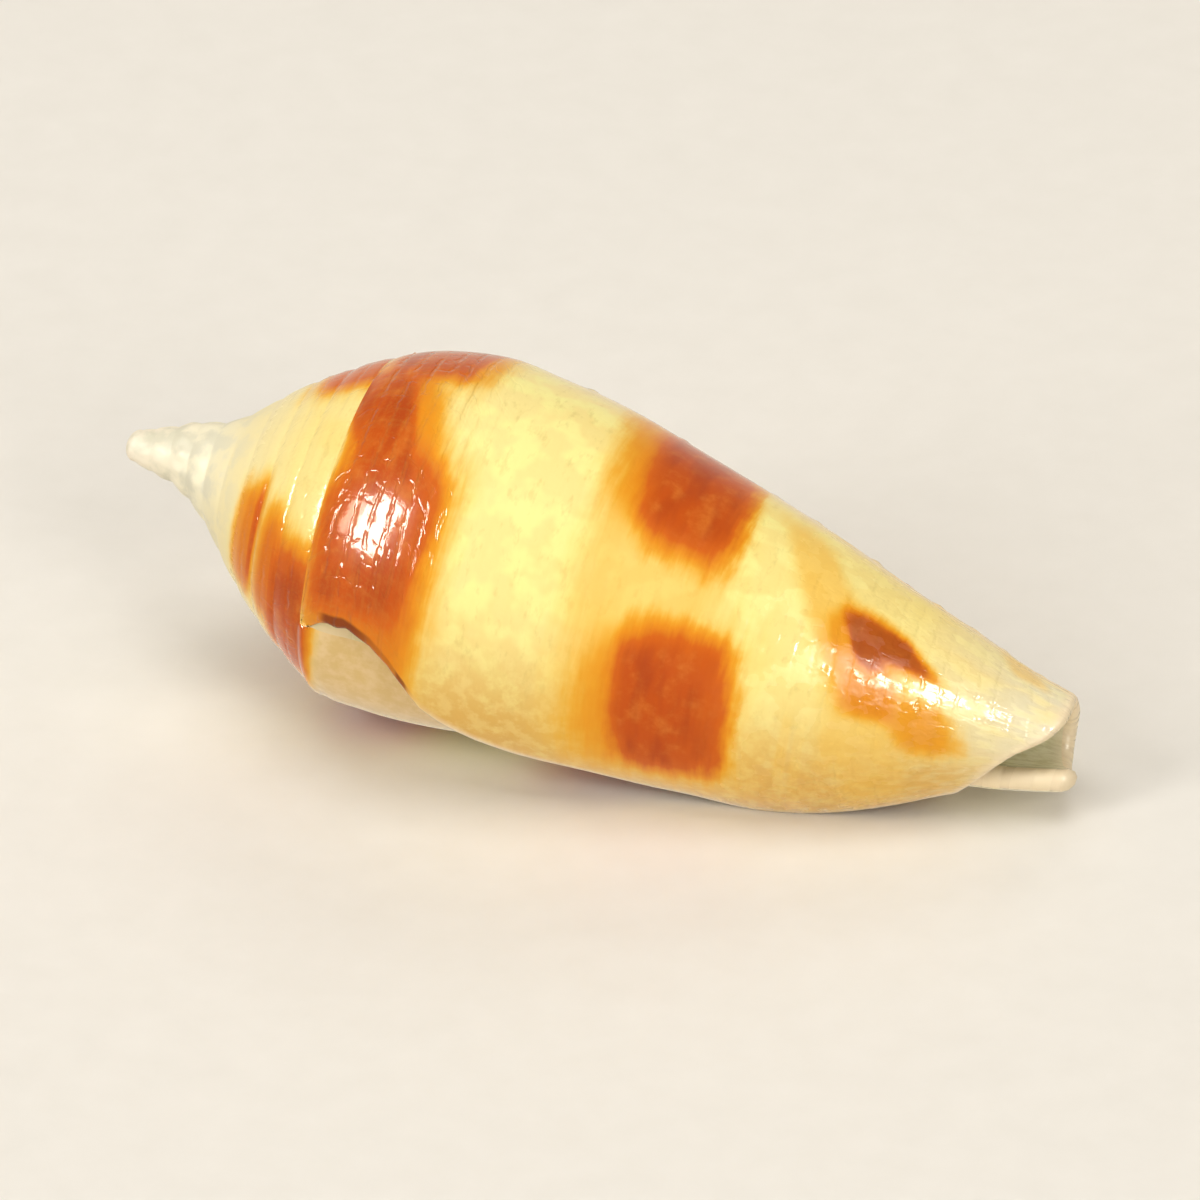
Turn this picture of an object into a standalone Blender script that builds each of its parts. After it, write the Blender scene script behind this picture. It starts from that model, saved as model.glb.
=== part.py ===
"""Mitred cone seashell: one grown shell, lying on its aperture side.

The shell is built in its own frame first. Its axis is +X with the apex near x = 0, and a growth
angle phi turns about the axis the way a dextral shell grows. The growth angle is 0 on the side that
faces a viewer who has the apex on the left and the lip at the bottom, and 90 at the lip.
The finished shell is then rolled, pitched and lowered until it lies on its flat spot at z = 0.
"""

import math

import bmesh
import bpy
import numpy as np
from mathutils import Matrix

MM = 0.001

# Driving dimensions, in millimetres and degrees

# Outline of the spire: distance from the apex, radius
SPIRE_OUTLINE = [
    (0.20, 0.40), (0.55, 0.50), (1.00, 0.63), (1.50, 0.81), (2.00, 1.03), (2.50, 1.33),
    (3.00, 1.79), (3.50, 2.28), (4.00, 2.73), (5.00, 3.48), (6.00, 4.09),
]
# Outline of the body whorl at three growth angles: one turn behind the lip, half a turn, at the lip
INNER_OUTLINE = [
    (6.6, 4.38), (7.6, 4.47), (9.0, 4.42), (10.0, 4.29), (12.0, 3.90), (15.0, 3.22), (18.0, 2.56),
    (20.0, 2.14), (22.0, 1.80), (23.0, 1.64), (24.0, 1.40), (25.3, 1.02),
]
UPPER_OUTLINE = [
    (6.6, 4.38), (7.6, 4.69), (8.7, 4.86), (10.0, 4.77), (11.5, 4.60), (14.0, 4.06), (18.0, 3.06),
    (20.0, 2.43), (22.0, 1.86), (23.3, 1.45), (24.7, 1.17),
]
LIP_OUTLINE = [
    (6.6, 4.50), (7.4, 4.76), (8.5, 4.86), (10.0, 4.78), (12.0, 4.53), (14.0, 4.25), (16.0, 4.02),
    (18.0, 3.83), (19.5, 3.42), (21.0, 2.74), (22.0, 2.18), (23.0, 1.68), (24.7, 1.17),
]
# Growth angle that the lip's outline belongs to, and the share of a turn before it of the upper outline
OUTLINE_ANGLE = 95.0
UPPER_TURN = 0.5
# Apex and the small dome over the first whorl
APEX_X = -0.05
DOME_RINGS = 3

# The suture's distance from the apex grows with the whorl count q as FIRST + STEP q + SPREAD q^3
SUTURE_FIRST = 0.20
SUTURE_STEP = 0.526
SUTURE_SPREAD = 0.00172
WHORLS = 9
LIP_ANGLE = 42.0

# Lip: distance from the suture, growth angle of the edge. It is set back beside the suture
LIP_LINE = [
    (0.00, 42.0), (0.30, 37.0), (0.64, 34.5), (1.25, 34.0), (2.03, 37.0), (2.55, 41.5), (3.00, 48.0),
    (3.45, 56.0), (3.95, 61.0), (4.80, 67.0), (5.75, 72.4), (7.50, 79.0), (9.00, 86.0), (11.00, 89.0),
    (16.30, 90.0),
]
# The thread of wall that runs on along the suture past the notch: height, half width, angle it covers
THREAD_HEIGHT = 0.12
THREAD_MIDDLE = 0.14
THREAD_HALF_WIDTH = 0.26
THREAD_ANGLE = 90.0
# Front edge: growth angle, distance from the apex. The canal is cut back toward the lip
FRONT_EDGE = [
    (-320.0, 25.30), (-265.0, 25.20), (-225.0, 24.80), (-180.0, 24.50), (-90.0, 24.50),
    (-50.0, 24.62), (-19.0, 24.55), (7.0, 24.25), (33.0, 23.60), (60.0, 23.05), (95.0, 22.35),
]

# Wall, slit and canal
WALL = 0.26
WALL_AT_SEAT = 0.13
WALL_THICKENS_OVER = 2.5
WALL_MOST_SHARE = 0.55
SLIT_DEPTH = 120.0
SLIT_LEAST = 0.22
SLIT_OPENS_OVER = 3.0
SLIT_CLEARS_IN = 40.0
CORE_ROWS_SHORT = 4
CORE_TIP_X = 22.6
INNER_GROWTH = 1.30
GROWTH_BLEND = 1.5
# The canal's inner edge is set back from the lip: angle, the columns it fades over, and the rows
CANAL_OPENING = 40.0
CANAL_COLUMNS = 8.0
CANAL_SHARES = (0.80, 0.88)
# Past the end of the core the canal has no floor
CANAL_FROM_X = 22.5
CANAL_FLOOR_DROP = 2.0

# Relief of the spire: sunken suture, whorl bulge, and knobs on the early whorls
RELIEF_AT_APEX = 0.35
SUTURE_SINK = 0.05
SINK_SHARE = 0.08
LOWER_SINK = 0.6
WHORL_BULGE = 0.035
KNOB_HEIGHT = 0.06
KNOBS_PER_WHORL = 12
KNOB_WHORLS = (0.6, 4.6)
KNOBS_RISE_OVER = 0.5
KNOBS_FADE_OVER = 1.2
# On the body whorl the bulge is full at one share of the way to the next suture, and fades past it
BULGE_FULL_AT = 0.5
BULGE_FADES_OVER = 3.0

# The spire's slight lean toward growth angle -90: reach, where it is greatest, and spread
LEAN = 0.16
LEAN_AT = 1.45
LEAN_SPREAD = 0.85

# Mesh steps
COLUMNS = 48
SPIRE_ROWS = (0.0, 0.16, 0.52, 0.88, 1.0)
BODY_ROWS = 30
BODY_ROW_CROWDING = 1.25
STRETCH_FROM = 0.5
WEDGE_SPLITS_AT = -0.6
SPOT_PASSES = 3
SHARP_ANGLE = 35.0

# Rest pose: roll about the axis, anterior end down, and the depth of the flat spot
REST_ROLL = 54.4
REST_PITCH = 9.9
FLAT_SPOT_DEPTH = 0.05
CUTTER_SIDE = 60.0

# Finish
CREAM = (0.86, 0.66, 0.28, 1.0)
GLOSSY = 0.22


def clamp(value, low=0.0, high=1.0):
    """Keep a value between two limits."""
    return min(max(value, low), high)


def soft_step(share):
    """Turn a share that rises evenly into one that starts and ends softly."""
    return share * share * (3.0 - 2.0 * share)


def smooth_curve(points):
    """Return a function through the points, with tangents from each point's neighbours."""
    xs = np.array([p[0] for p in points])
    ys = np.array([p[1] for p in points])
    slopes = np.gradient(ys, xs)

    def curve(x):
        x = np.clip(x, xs[0], xs[-1])
        i = np.clip(np.searchsorted(xs, x, side="right") - 1, 0, len(xs) - 2)
        h = xs[i + 1] - xs[i]
        t = (x - xs[i]) / h
        level = ys[i] + (ys[i + 1] - ys[i]) * soft_step(t)
        return level + h * (slopes[i] * t * (1 - t) ** 2 - slopes[i + 1] * t * t * (1 - t))

    return curve


inner_radius = smooth_curve(SPIRE_OUTLINE + INNER_OUTLINE)
upper_radius = smooth_curve(SPIRE_OUTLINE + UPPER_OUTLINE)
lip_radius = smooth_curve(SPIRE_OUTLINE + LIP_OUTLINE)
front_edge = smooth_curve(FRONT_EDGE)


def lip_angle(from_suture):
    """Growth angle of the lip's edge at a distance from the suture."""
    return np.interp(from_suture, [p[0] for p in LIP_LINE], [p[1] for p in LIP_LINE])


def suture(q):
    """Distance of the suture from the apex at whorl count q, flat on the first turn's ring."""
    q = max(q, 0.0)
    return SUTURE_FIRST + SUTURE_STEP * q + SUTURE_SPREAD * q ** 3


def whorl_count(phi):
    """Whorl count at a growth angle."""
    return WHORLS + (phi - LIP_ANGLE) / 360.0


def body_radius(phi, x):
    """Radius without relief, blended between the three outlines by growth angle."""
    t = (phi - OUTLINE_ANGLE) / 360.0 + 1.0
    if t < 0.0:
        past = clamp((x - suture(WHORLS)) / GROWTH_BLEND)
        return float(inner_radius(x)) * (1.0 + past * (INNER_GROWTH ** t - 1.0))
    inner = (t - UPPER_TURN) * (t - 1.0) / UPPER_TURN
    upper = t * (t - 1.0) / (UPPER_TURN * (UPPER_TURN - 1.0))
    lip = t * (t - UPPER_TURN) / (1.0 - UPPER_TURN)
    return float(inner * inner_radius(x) + upper * upper_radius(x) + lip * lip_radius(x))


def relief(q, v, phi):
    """Height of the spire's relief at whorl count q and share v of the way to the next suture."""
    size = clamp(RELIEF_AT_APEX + (1.0 - RELIEF_AT_APEX) * q / WHORLS)
    upper_sink = math.exp(-v / SINK_SHARE)
    lower_sink = LOWER_SINK * math.exp(-(1.0 - v) / SINK_SHARE)
    crown = math.sin(math.pi * clamp(v))
    first, last = KNOB_WHORLS
    fade = clamp((q - first) / KNOBS_RISE_OVER) * clamp((last - q) / KNOBS_FADE_OVER)
    wave = 0.5 + 0.5 * math.cos(math.radians(phi) * KNOBS_PER_WHORL)
    knobs = KNOB_HEIGHT * fade * wave * crown ** 2
    return WHORL_BULGE * crown - SUTURE_SINK * size * (upper_sink + lower_sink) + knobs


def body_relief(phi, x, top, line):
    """Relief of the body whorl: its own suture, and the thread that runs on past the notch."""
    v = (x - top) / (line - top)
    turned = phi - (LIP_ANGLE - 360.0)
    blend = clamp(1.0 - turned / THREAD_ANGLE)
    rise = math.sin(0.5 * math.pi * clamp(v / BULGE_FULL_AT))
    bulge = WHORL_BULGE * rise * clamp(1.0 - (v - 1.0) / BULGE_FADES_OVER)
    own = bulge - SUTURE_SINK * math.exp(-v / SINK_SHARE)
    if v < 1.0:
        own += blend * (relief(WHORLS - 1.0, v, phi) - own)
    reach = clamp(1.0 - abs(x - line - THREAD_MIDDLE) / THREAD_HALF_WIDTH)
    return own + THREAD_HEIGHT * blend * soft_step(reach)


def place(phi, x, radius):
    """Point at a growth angle, distance along the axis and radius, in the shell's own frame."""
    angle = math.radians(phi)
    lean = LEAN * math.exp(-(((x - LEAN_AT) / LEAN_SPREAD) ** 2))
    return (x, lean - radius * math.sin(angle), radius * math.cos(angle))


class ShellMesh:
    """Vertices and faces of the shell, gathered patch by patch."""

    def __init__(self):
        """Start with nothing."""
        self.points = []
        self.faces = []

    def add(self, point):
        """Add a point and return its number."""
        self.points.append(point)
        return len(self.points) - 1

    def face(self, *corners):
        """Add a face on its different corners, or none if they are fewer than three."""
        ring = []
        for corner in corners:
            if corner not in ring:
                ring.append(corner)
        if len(ring) > 2:
            self.faces.append(ring)

    def quilt(self, rows):
        """Join neighbouring rows of equal length into quads."""
        for row, following in zip(rows, rows[1:]):
            for i in range(len(row) - 1):
                self.face(row[i], row[i + 1], following[i + 1], following[i])


def seat_of_wall(phi):
    """Distance from the apex where the inside of the lip's wall sits on the previous whorl."""
    line = suture(whorl_count(phi))
    return line + body_rows()[1] * (float(front_edge(LIP_ANGLE - 360.0)) - line)


def slit_radii(phi, x):
    """Radii of the slit's roof, under the lip's wall, and of its floor, on the previous whorl."""
    line = suture(whorl_count(phi))
    following = suture(whorl_count(phi) + 1.0)
    outer = body_radius(phi, x) + body_relief(phi, x, line, following)
    past = max(x - seat_of_wall(phi), 0.0)
    wall = WALL_AT_SEAT + (WALL - WALL_AT_SEAT) * clamp(past / WALL_THICKENS_OVER)
    gap = SLIT_LEAST * clamp(past / SLIT_OPENS_OVER)
    floor = body_radius(phi - 360.0, x) - CANAL_FLOOR_DROP * max(x - CANAL_FROM_X, 0.0)
    floor -= clamp((LIP_ANGLE - phi) / SLIT_CLEARS_IN) * max(floor + gap + wall - outer, 0.0)
    return outer - min(wall, WALL_MOST_SHARE * (outer - floor)), floor


def build_spire(mesh):
    """Add the spire's strip, which starts as a wedge on a ring, and the dome over that ring."""
    last = (WHORLS - 1) * COLUMNS
    strip = []
    for column in range(-COLUMNS, last + 1):
        phi = LIP_ANGLE + 360.0 * (column / COLUMNS - WHORLS)
        q = column / COLUMNS
        top = suture(q)
        bottom = suture(q + 1)
        if column == -COLUMNS:
            start = mesh.add(place(phi, top, body_radius(phi, top)))
            strip.append([start] * len(SPIRE_ROWS))
            continue
        if column < 0:
            indices = [mesh.add(place(phi, top, body_radius(phi, top)))]
        else:
            indices = [strip[column][-1]]
        rows = SPIRE_ROWS[1:] if q > WEDGE_SPLITS_AT else SPIRE_ROWS[-1:]
        for v in rows:
            x = top + v * (bottom - top)
            lift = relief(q, v, phi) * min(1.0, q + 1.0)
            indices.append(mesh.add(place(phi, x, body_radius(phi, x) + lift)))
        while len(indices) < len(SPIRE_ROWS):
            indices.insert(1, indices[-1])
        strip.append(indices)
    mesh.quilt(strip)

    ring = [strip[i][0] for i in range(COLUMNS)]
    ring_x, ring_radius = SPIRE_OUTLINE[0]
    for step in range(1, DOME_RINGS):
        angle = 0.5 * math.pi * step / DOME_RINGS
        x = APEX_X + (ring_x - APEX_X) * (1.0 - math.sin(angle))
        inner = []
        for i in range(COLUMNS):
            phi = LIP_ANGLE + 360.0 * (i / COLUMNS)
            inner.append(mesh.add(place(phi, x, ring_radius * math.cos(angle))))
        mesh.quilt([inner + inner[:1], ring + ring[:1]])
        ring = inner
    apex = mesh.add((APEX_X, 0.0, 0.0))
    for i in range(COLUMNS):
        mesh.face(apex, ring[i], ring[(i + 1) % COLUMNS])
    return strip


def body_rows():
    """Shares of the way from the next suture's line to the front edge."""
    return [(i / BODY_ROWS) ** BODY_ROW_CROWDING for i in range(BODY_ROWS + 1)]


def outer_spot(column, row):
    """Growth angle and distance along the axis of a point of the body whorl's outside."""
    u = column / COLUMNS
    base = LIP_ANGLE + 360.0 * (u - 1.0)
    top = suture(WHORLS - 1 + u)
    following = suture(WHORLS + u)
    spire_last = len(SPIRE_ROWS) - 1
    share = body_rows()[max(row - spire_last, 0)]
    weight = soft_step(clamp((u - STRETCH_FROM) / (1.0 - STRETCH_FROM)))
    first, full = CANAL_SHARES
    opening = CANAL_OPENING * clamp(1.0 - column / CANAL_COLUMNS)
    opening *= clamp((share - first) / (full - first))
    phi = base
    for _ in range(SPOT_PASSES):
        x = following + share * (float(front_edge(phi)) - following)
        if row <= spire_last:
            x = top + SPIRE_ROWS[row] * (following - top)
        phi = base + opening + weight * (lip_angle(x - top) - LIP_ANGLE)
    return phi, x, top, base


def build_body(mesh, strip):
    """Add the body whorl: outside, slit, lip edge, canal and the core's end."""
    spire_last = len(SPIRE_ROWS) - 1
    last_row = spire_last + BODY_ROWS
    core_row = last_row - CORE_ROWS_SHORT
    deep = round(SLIT_DEPTH / 360.0 * COLUMNS)
    shares = body_rows()

    outside = []
    for column in range(COLUMNS + 1):
        indices = []
        for row in range(last_row + 1):
            if column == 0 and row <= spire_last:
                indices.append(strip[-1][row])
            elif row == 0:
                indices.append(strip[len(strip) - 1 - COLUMNS + column][-1])
            else:
                phi, x, top, base = outer_spot(column, row)
                line = suture(whorl_count(base) + 1.0)
                radius = body_radius(phi, x) + body_relief(base, x, top, line)
                indices.append(mesh.add(place(phi, x, radius)))
        outside.append(indices)
    mesh.quilt(outside)

    under = []
    behind_lip = float(front_edge(LIP_ANGLE - 360.0))
    for n in range(deep):
        phi = LIP_ANGLE - SLIT_DEPTH * (1.0 - n / deep)
        seat = seat_of_wall(phi)
        end = float(front_edge(phi)) * (1.0 - n / deep) + behind_lip * n / deep
        indices = []
        for row in range(1, core_row - spire_last + 1):
            x = seat + (shares[row] - shares[1]) / (1.0 - shares[1]) * (end - seat)
            indices.append(mesh.add(place(phi, x, slit_radii(phi, x)[1])))
        under.append(indices)
    under.append(outside[0][spire_last + 1:core_row + 1])
    mesh.quilt(under)

    inside = []
    for column in range(COLUMNS + 1):
        n = column - (COLUMNS - deep)
        indices = [None] * (last_row + 1)
        first = 0 if n >= 0 else core_row
        for row in range(first, last_row + 1):
            if row == 0:
                indices[row] = under[n][0]
                continue
            phi, x, top, base = outer_spot(column, row)
            radius = body_radius(phi, x) - WALL
            if n >= 0:
                end = float(front_edge(phi))
                seat = seat_of_wall(base)
                x = seat + (end - seat) * (x - top) / (end - top)
                radius = slit_radii(phi, x)[0]
            indices[row] = mesh.add(place(phi, x, radius))
        inside.append(indices)
    mesh.quilt(inside[COLUMNS - deep:])
    mesh.quilt([column[core_row:] for column in inside[:COLUMNS - deep + 1]])

    mesh.quilt([outside[-1], inside[-1]])
    mesh.quilt([[c[-1] for c in outside], [c[-1] for c in inside]])
    mesh.quilt([outside[0][core_row:], inside[0][core_row:]])

    deep_wall = inside[COLUMNS - deep]
    floor = [under[0][0]] * (spire_last + 1) + under[0]
    mesh.quilt([deep_wall[:core_row + 1], floor])

    loop = [c[-1] for c in reversed(under)]
    loop += [c[core_row] for c in reversed(inside[:COLUMNS - deep + 1])]
    tip = mesh.add((CORE_TIP_X, 0.0, 0.0))
    for i, corner in enumerate(loop):
        mesh.face(tip, corner, loop[(i + 1) % len(loop)])


def shell_material():
    """Glossy cream shell."""
    material = bpy.data.materials.new("cream shell")
    material.use_nodes = True
    shader = material.node_tree.nodes["Principled BSDF"]
    shader.inputs["Base Color"].default_value = CREAM
    shader.inputs["Roughness"].default_value = GLOSSY
    shader.inputs["Metallic"].default_value = 0.0
    return material


def rest_pose():
    """Roll and pitch that turn the shell from its own frame onto its aperture side."""
    roll = Matrix.Rotation(math.radians(REST_ROLL), 4, "X")
    pitch = Matrix.Rotation(math.radians(REST_PITCH), 4, "Y")
    return pitch @ roll


def build_shell(collection, cutters):
    """Make the shell, lay it down, and cut its flat spot."""
    mesh = ShellMesh()
    strip = build_spire(mesh)
    build_body(mesh, strip)
    data = bpy.data.meshes.new("shell")
    data.from_pydata(mesh.points, [], mesh.faces)
    data.transform(rest_pose() @ Matrix.Scale(MM, 4))
    lows = [min(v.co[i] for v in data.vertices) for i in range(3)]
    highs = [max(v.co[i] for v in data.vertices) for i in range(3)]
    drop = lows[2] + FLAT_SPOT_DEPTH * MM
    data.transform(Matrix.Translation((-(lows[0] + highs[0]) / 2, -(lows[1] + highs[1]) / 2, -drop)))
    work = bmesh.new()
    work.from_mesh(data)
    bmesh.ops.triangulate(work, faces=work.faces)
    bmesh.ops.recalc_face_normals(work, faces=work.faces)
    work.to_mesh(data)
    work.free()
    data.materials.append(shell_material())
    shell = bpy.data.objects.new("shell", data)
    collection.objects.link(shell)

    bpy.ops.mesh.primitive_cube_add(size=1.0, location=(0.0, 0.0, -0.5 * CUTTER_SIDE * MM))
    cutter = bpy.context.object
    cutter.name = "flat_spot_cutter"
    cutter.scale = (CUTTER_SIDE * MM,) * 3
    cutter.hide_render = True
    cutter.display_type = "WIRE"
    for holder in cutter.users_collection:
        holder.objects.unlink(cutter)
    cutters.objects.link(cutter)
    cut = shell.modifiers.new("flat spot", "BOOLEAN")
    cut.operation = "DIFFERENCE"
    cut.solver = "EXACT"
    cut.object = cutter
    data.shade_smooth()
    data.set_sharp_from_angle(angle=math.radians(SHARP_ANGLE))
    return shell


def main():
    """Build the shell and set it down."""
    for item in list(bpy.data.objects):
        bpy.data.objects.remove(item)
    parts = bpy.data.collections.new("mitred_cone")
    cutters = bpy.data.collections.new("cutters")
    bpy.context.scene.collection.children.link(parts)
    bpy.context.scene.collection.children.link(cutters)
    build_shell(parts, cutters)


if __name__ == "__main__":
    main()
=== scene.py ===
"""Looks of the mitred cone seashell: its fine surface, its glaze, and a plain studio round it.

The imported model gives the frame. The shell is grown again here from the same outlines, much finer,
with its spiral cords, granules and rounded lip, and every corner of the mesh carries its place on
the shell, so that the colour bands and the sculpture follow the growth of the shell.

Lengths are in millimetres and angles in degrees until the mesh is laid down in the frame.
"""

import logging
import math
from dataclasses import dataclass, field
from enum import Enum
from typing import NamedTuple

import bmesh
import bpy
import numpy as np
from mathutils import Matrix, Vector


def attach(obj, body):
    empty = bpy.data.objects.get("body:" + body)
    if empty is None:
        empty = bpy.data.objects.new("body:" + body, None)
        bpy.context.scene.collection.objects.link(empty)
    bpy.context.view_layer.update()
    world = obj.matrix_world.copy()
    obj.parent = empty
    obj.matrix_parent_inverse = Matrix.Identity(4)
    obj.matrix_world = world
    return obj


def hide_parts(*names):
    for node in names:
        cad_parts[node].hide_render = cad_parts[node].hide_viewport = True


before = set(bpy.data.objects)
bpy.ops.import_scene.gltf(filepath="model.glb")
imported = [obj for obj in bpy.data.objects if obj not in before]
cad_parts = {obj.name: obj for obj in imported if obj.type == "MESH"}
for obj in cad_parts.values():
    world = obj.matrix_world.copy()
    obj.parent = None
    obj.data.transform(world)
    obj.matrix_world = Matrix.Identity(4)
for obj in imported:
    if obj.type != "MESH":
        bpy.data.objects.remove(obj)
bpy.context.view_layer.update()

LOG = logging.getLogger("mitred_cone")
MM = 0.001
TURN = 360.0
BEAD_ANGLE = 6.4
FAR_OUTSIDE = -9.0
Array = np.ndarray
Colour = tuple[float, float, float]


def paint(red: int, green: int, blue: int) -> Colour:
    """Turn a display colour, 0 to 255, into the linear one that shaders take, 0 to 1."""
    shares = [value / 255.0 for value in (red, green, blue)]
    return tuple(s / 12.92 if s < 0.04045 else ((s + 0.055) / 1.055) ** 2.4 for s in shares)


def ease(share: Array) -> Array:
    """Smooth step over a share that is first kept between 0 and 1."""
    share = np.clip(share, 0.0, 1.0)
    return share * share * (3.0 - 2.0 * share)


def rise(value: Array, start: float, over: float) -> Array:
    """Smooth step that starts at a value and ends a distance past it, or before it if negative."""
    return ease((value - start) / over)


class Side(Enum):
    """Finish that a face of the shell takes, by its material index."""

    GLAZE = 0
    LINING = 1


class Coil(Enum):
    """How a blotch reads the growth angle: along the spiral, or by its side of the spire."""

    BODY = "body"
    SPIRE = "spire"


@dataclass(frozen=True)
class Curve:
    """Smooth curve through a few points, level past its ends.

    Attributes:
        points: pairs of place and value, in rising order of place.
    """

    points: tuple[tuple[float, float], ...]

    def at(self, place: Array) -> Array:
        """Read the curve.

        Args:
            place: places to read it at.

        Returns:
            The values there.
        """
        xs, ys = np.array(self.points).T
        slopes = np.gradient(ys, xs)
        place = np.clip(place, xs[0], xs[-1])
        i = np.clip(np.searchsorted(xs, place, side="right") - 1, 0, len(xs) - 2)
        step = xs[i + 1] - xs[i]
        t = (place - xs[i]) / step
        value = ys[i] * (1 + 2 * t) * (1 - t) ** 2 + ys[i + 1] * t * t * (3 - 2 * t)
        return value + step * (slopes[i] * t * (1 - t) ** 2 - slopes[i + 1] * t * t * (1 - t))

    def straight(self, place: Array) -> Array:
        """Read straight lines between the points, at some places."""
        xs, ys = np.array(self.points).T
        return np.interp(place, xs, ys)


SPIRE_OUTLINE = (
    (0.20, 0.40), (0.55, 0.50), (1.00, 0.63), (1.50, 0.81), (2.00, 1.03), (2.50, 1.33),
    (3.00, 1.79), (3.50, 2.28), (4.00, 2.73), (5.00, 3.48), (6.00, 4.09),
)


@dataclass(frozen=True)
class Growth:
    """How the shell grows: outlines, suture, lip, front edge, wall and aperture slit.

    Attributes:
        inner, upper, lip: distance along the axis and radius, one turn and half a turn behind the
            lip, and at the lip.
        front: growth angle and distance along the axis of the front edge.
        lip_line: distance from the suture and growth angle of the lip's edge.
        outline_angle, lip_angle: growth angles of the outline at the lip and of the lip's root.
        suture_*: where the suture starts, its step from whorl to whorl, and how that widens.
        inner_growth, growth_blend: how the radius of earlier whorls shrinks in a turn, and over
            what length that sets in.
        wall_*, front_wall_*: how thick the wall is, at its seat, in all and at the front.
        slit_*, floor_*: depth of the slit, how it opens, and how its floor drops at the front.
        lean_*: how the tip leans.
    """

    inner: Curve = Curve(SPIRE_OUTLINE + (
        (6.6, 4.38), (7.6, 4.47), (9.0, 4.42), (10.0, 4.29), (12.0, 3.90), (15.0, 3.22),
        (18.0, 2.56), (20.0, 2.14), (22.0, 1.80), (23.0, 1.64), (24.0, 1.40), (25.3, 1.02),
    ))
    upper: Curve = Curve(SPIRE_OUTLINE + (
        (6.6, 4.38), (7.6, 4.69), (8.7, 4.86), (10.0, 4.77), (11.5, 4.60), (14.0, 4.06),
        (18.0, 3.06), (20.0, 2.43), (22.0, 1.86), (23.3, 1.45), (24.7, 1.17),
    ))
    lip: Curve = Curve(SPIRE_OUTLINE + (
        (6.6, 4.50), (7.4, 4.76), (8.5, 4.86), (10.0, 4.78), (12.0, 4.53), (14.0, 4.25),
        (16.0, 4.02), (18.0, 3.83), (19.5, 3.42), (21.0, 2.74), (22.0, 2.18), (23.0, 1.68),
        (24.7, 1.17),
    ))
    front: Curve = Curve((
        (-320.0, 24.98), (-265.0, 24.96), (-225.0, 24.70), (-180.0, 24.50), (-90.0, 24.50),
        (-50.0, 24.62), (-19.0, 24.55), (7.0, 24.25), (33.0, 23.60), (60.0, 23.05), (95.0, 22.35),
    ))
    lip_line: Curve = Curve((
        (0.00, 42.0), (0.30, 37.0), (0.64, 34.5), (1.25, 34.0), (2.03, 37.0), (2.55, 41.5),
        (3.00, 48.0), (3.45, 56.0), (3.95, 61.0), (4.80, 67.0), (5.75, 72.4), (7.50, 79.0),
        (9.00, 86.0), (11.00, 89.0), (16.30, 90.0),
    ))
    outline_angle: float = 95.0
    lip_angle: float = 42.0
    whorls: int = 9
    suture_first: float = 0.20
    suture_step: float = 0.526
    suture_spread: float = 0.00172
    apex: float = -0.05
    inner_growth: float = 1.30
    growth_blend: float = 1.5
    wall: float = 0.26
    wall_at_seat: float = 0.13
    wall_thickens_over: float = 2.5
    wall_share: float = 0.55
    front_wall: float = 0.32
    front_wall_from: float = 21.0
    front_wall_over: float = 2.0
    front_wall_columns: float = 24.0
    seat_share: float = 0.01425
    slit_depth: float = 120.0
    slit_least: float = 0.22
    slit_opens_over: float = 3.0
    slit_clears_in: float = 40.0
    floor_ends: float = 22.5
    floor_drop: float = 2.0
    lean: float = 0.16
    lean_at: float = 1.45
    lean_spread: float = 0.85

    def suture(self, q: Array) -> Array:
        """Distance of the suture from the apex at whorl count q."""
        q = np.maximum(q, 0.0)
        return self.suture_first + self.suture_step * q + self.suture_spread * q**3

    def whorl(self, phi: Array) -> Array:
        """Whorl count at a growth angle."""
        return self.whorls + (phi - self.lip_angle) / TURN

    def radius(self, phi: Array, x: Array) -> Array:
        """Radius without sculpture, blended between the three outlines.

        Args:
            phi: growth angle.
            x: distance along the axis.

        Returns:
            The radius there.
        """
        t = (phi - self.outline_angle) / TURN + 1.0
        inner = self.inner.at(x)
        past = np.clip((x - self.suture(self.whorls)) / self.growth_blend, 0.0, 1.0)
        early = inner * (1.0 + past * (self.inner_growth ** np.minimum(t, 0.0) - 1.0))
        # These weights give each outline back at its own share of the turn: 0, one half and 1.
        first = (t - 0.5) * (t - 1.0) / 0.5
        half = t * (t - 1.0) / -0.25
        last = t * (t - 0.5) / 0.5
        late = first * inner + half * self.upper.at(x) + last * self.lip.at(x)
        return np.where(t < 0.0, early, late)

    def place(self, phi: Array, x: Array, radius: Array) -> Array:
        """Points in the shell's own frame, with its tip leaning a little.

        Args:
            phi: growth angle.
            x: distance along the axis.
            radius: distance from the axis.

        Returns:
            The points, with the coordinates last.
        """
        angle = np.radians(phi)
        lean = self.lean * np.exp(-(((x - self.lean_at) / self.lean_spread) ** 2))
        return np.stack([x + 0.0 * phi, lean - radius * np.sin(angle), radius * np.cos(angle)], -1)

    def seat(self, phi: Array) -> Array:
        """Distance along the axis where the lip's wall sits on the whorl before it."""
        line = self.suture(self.whorl(phi))
        return line + self.seat_share * (self.front.at(self.lip_angle - TURN) - line)

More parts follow.
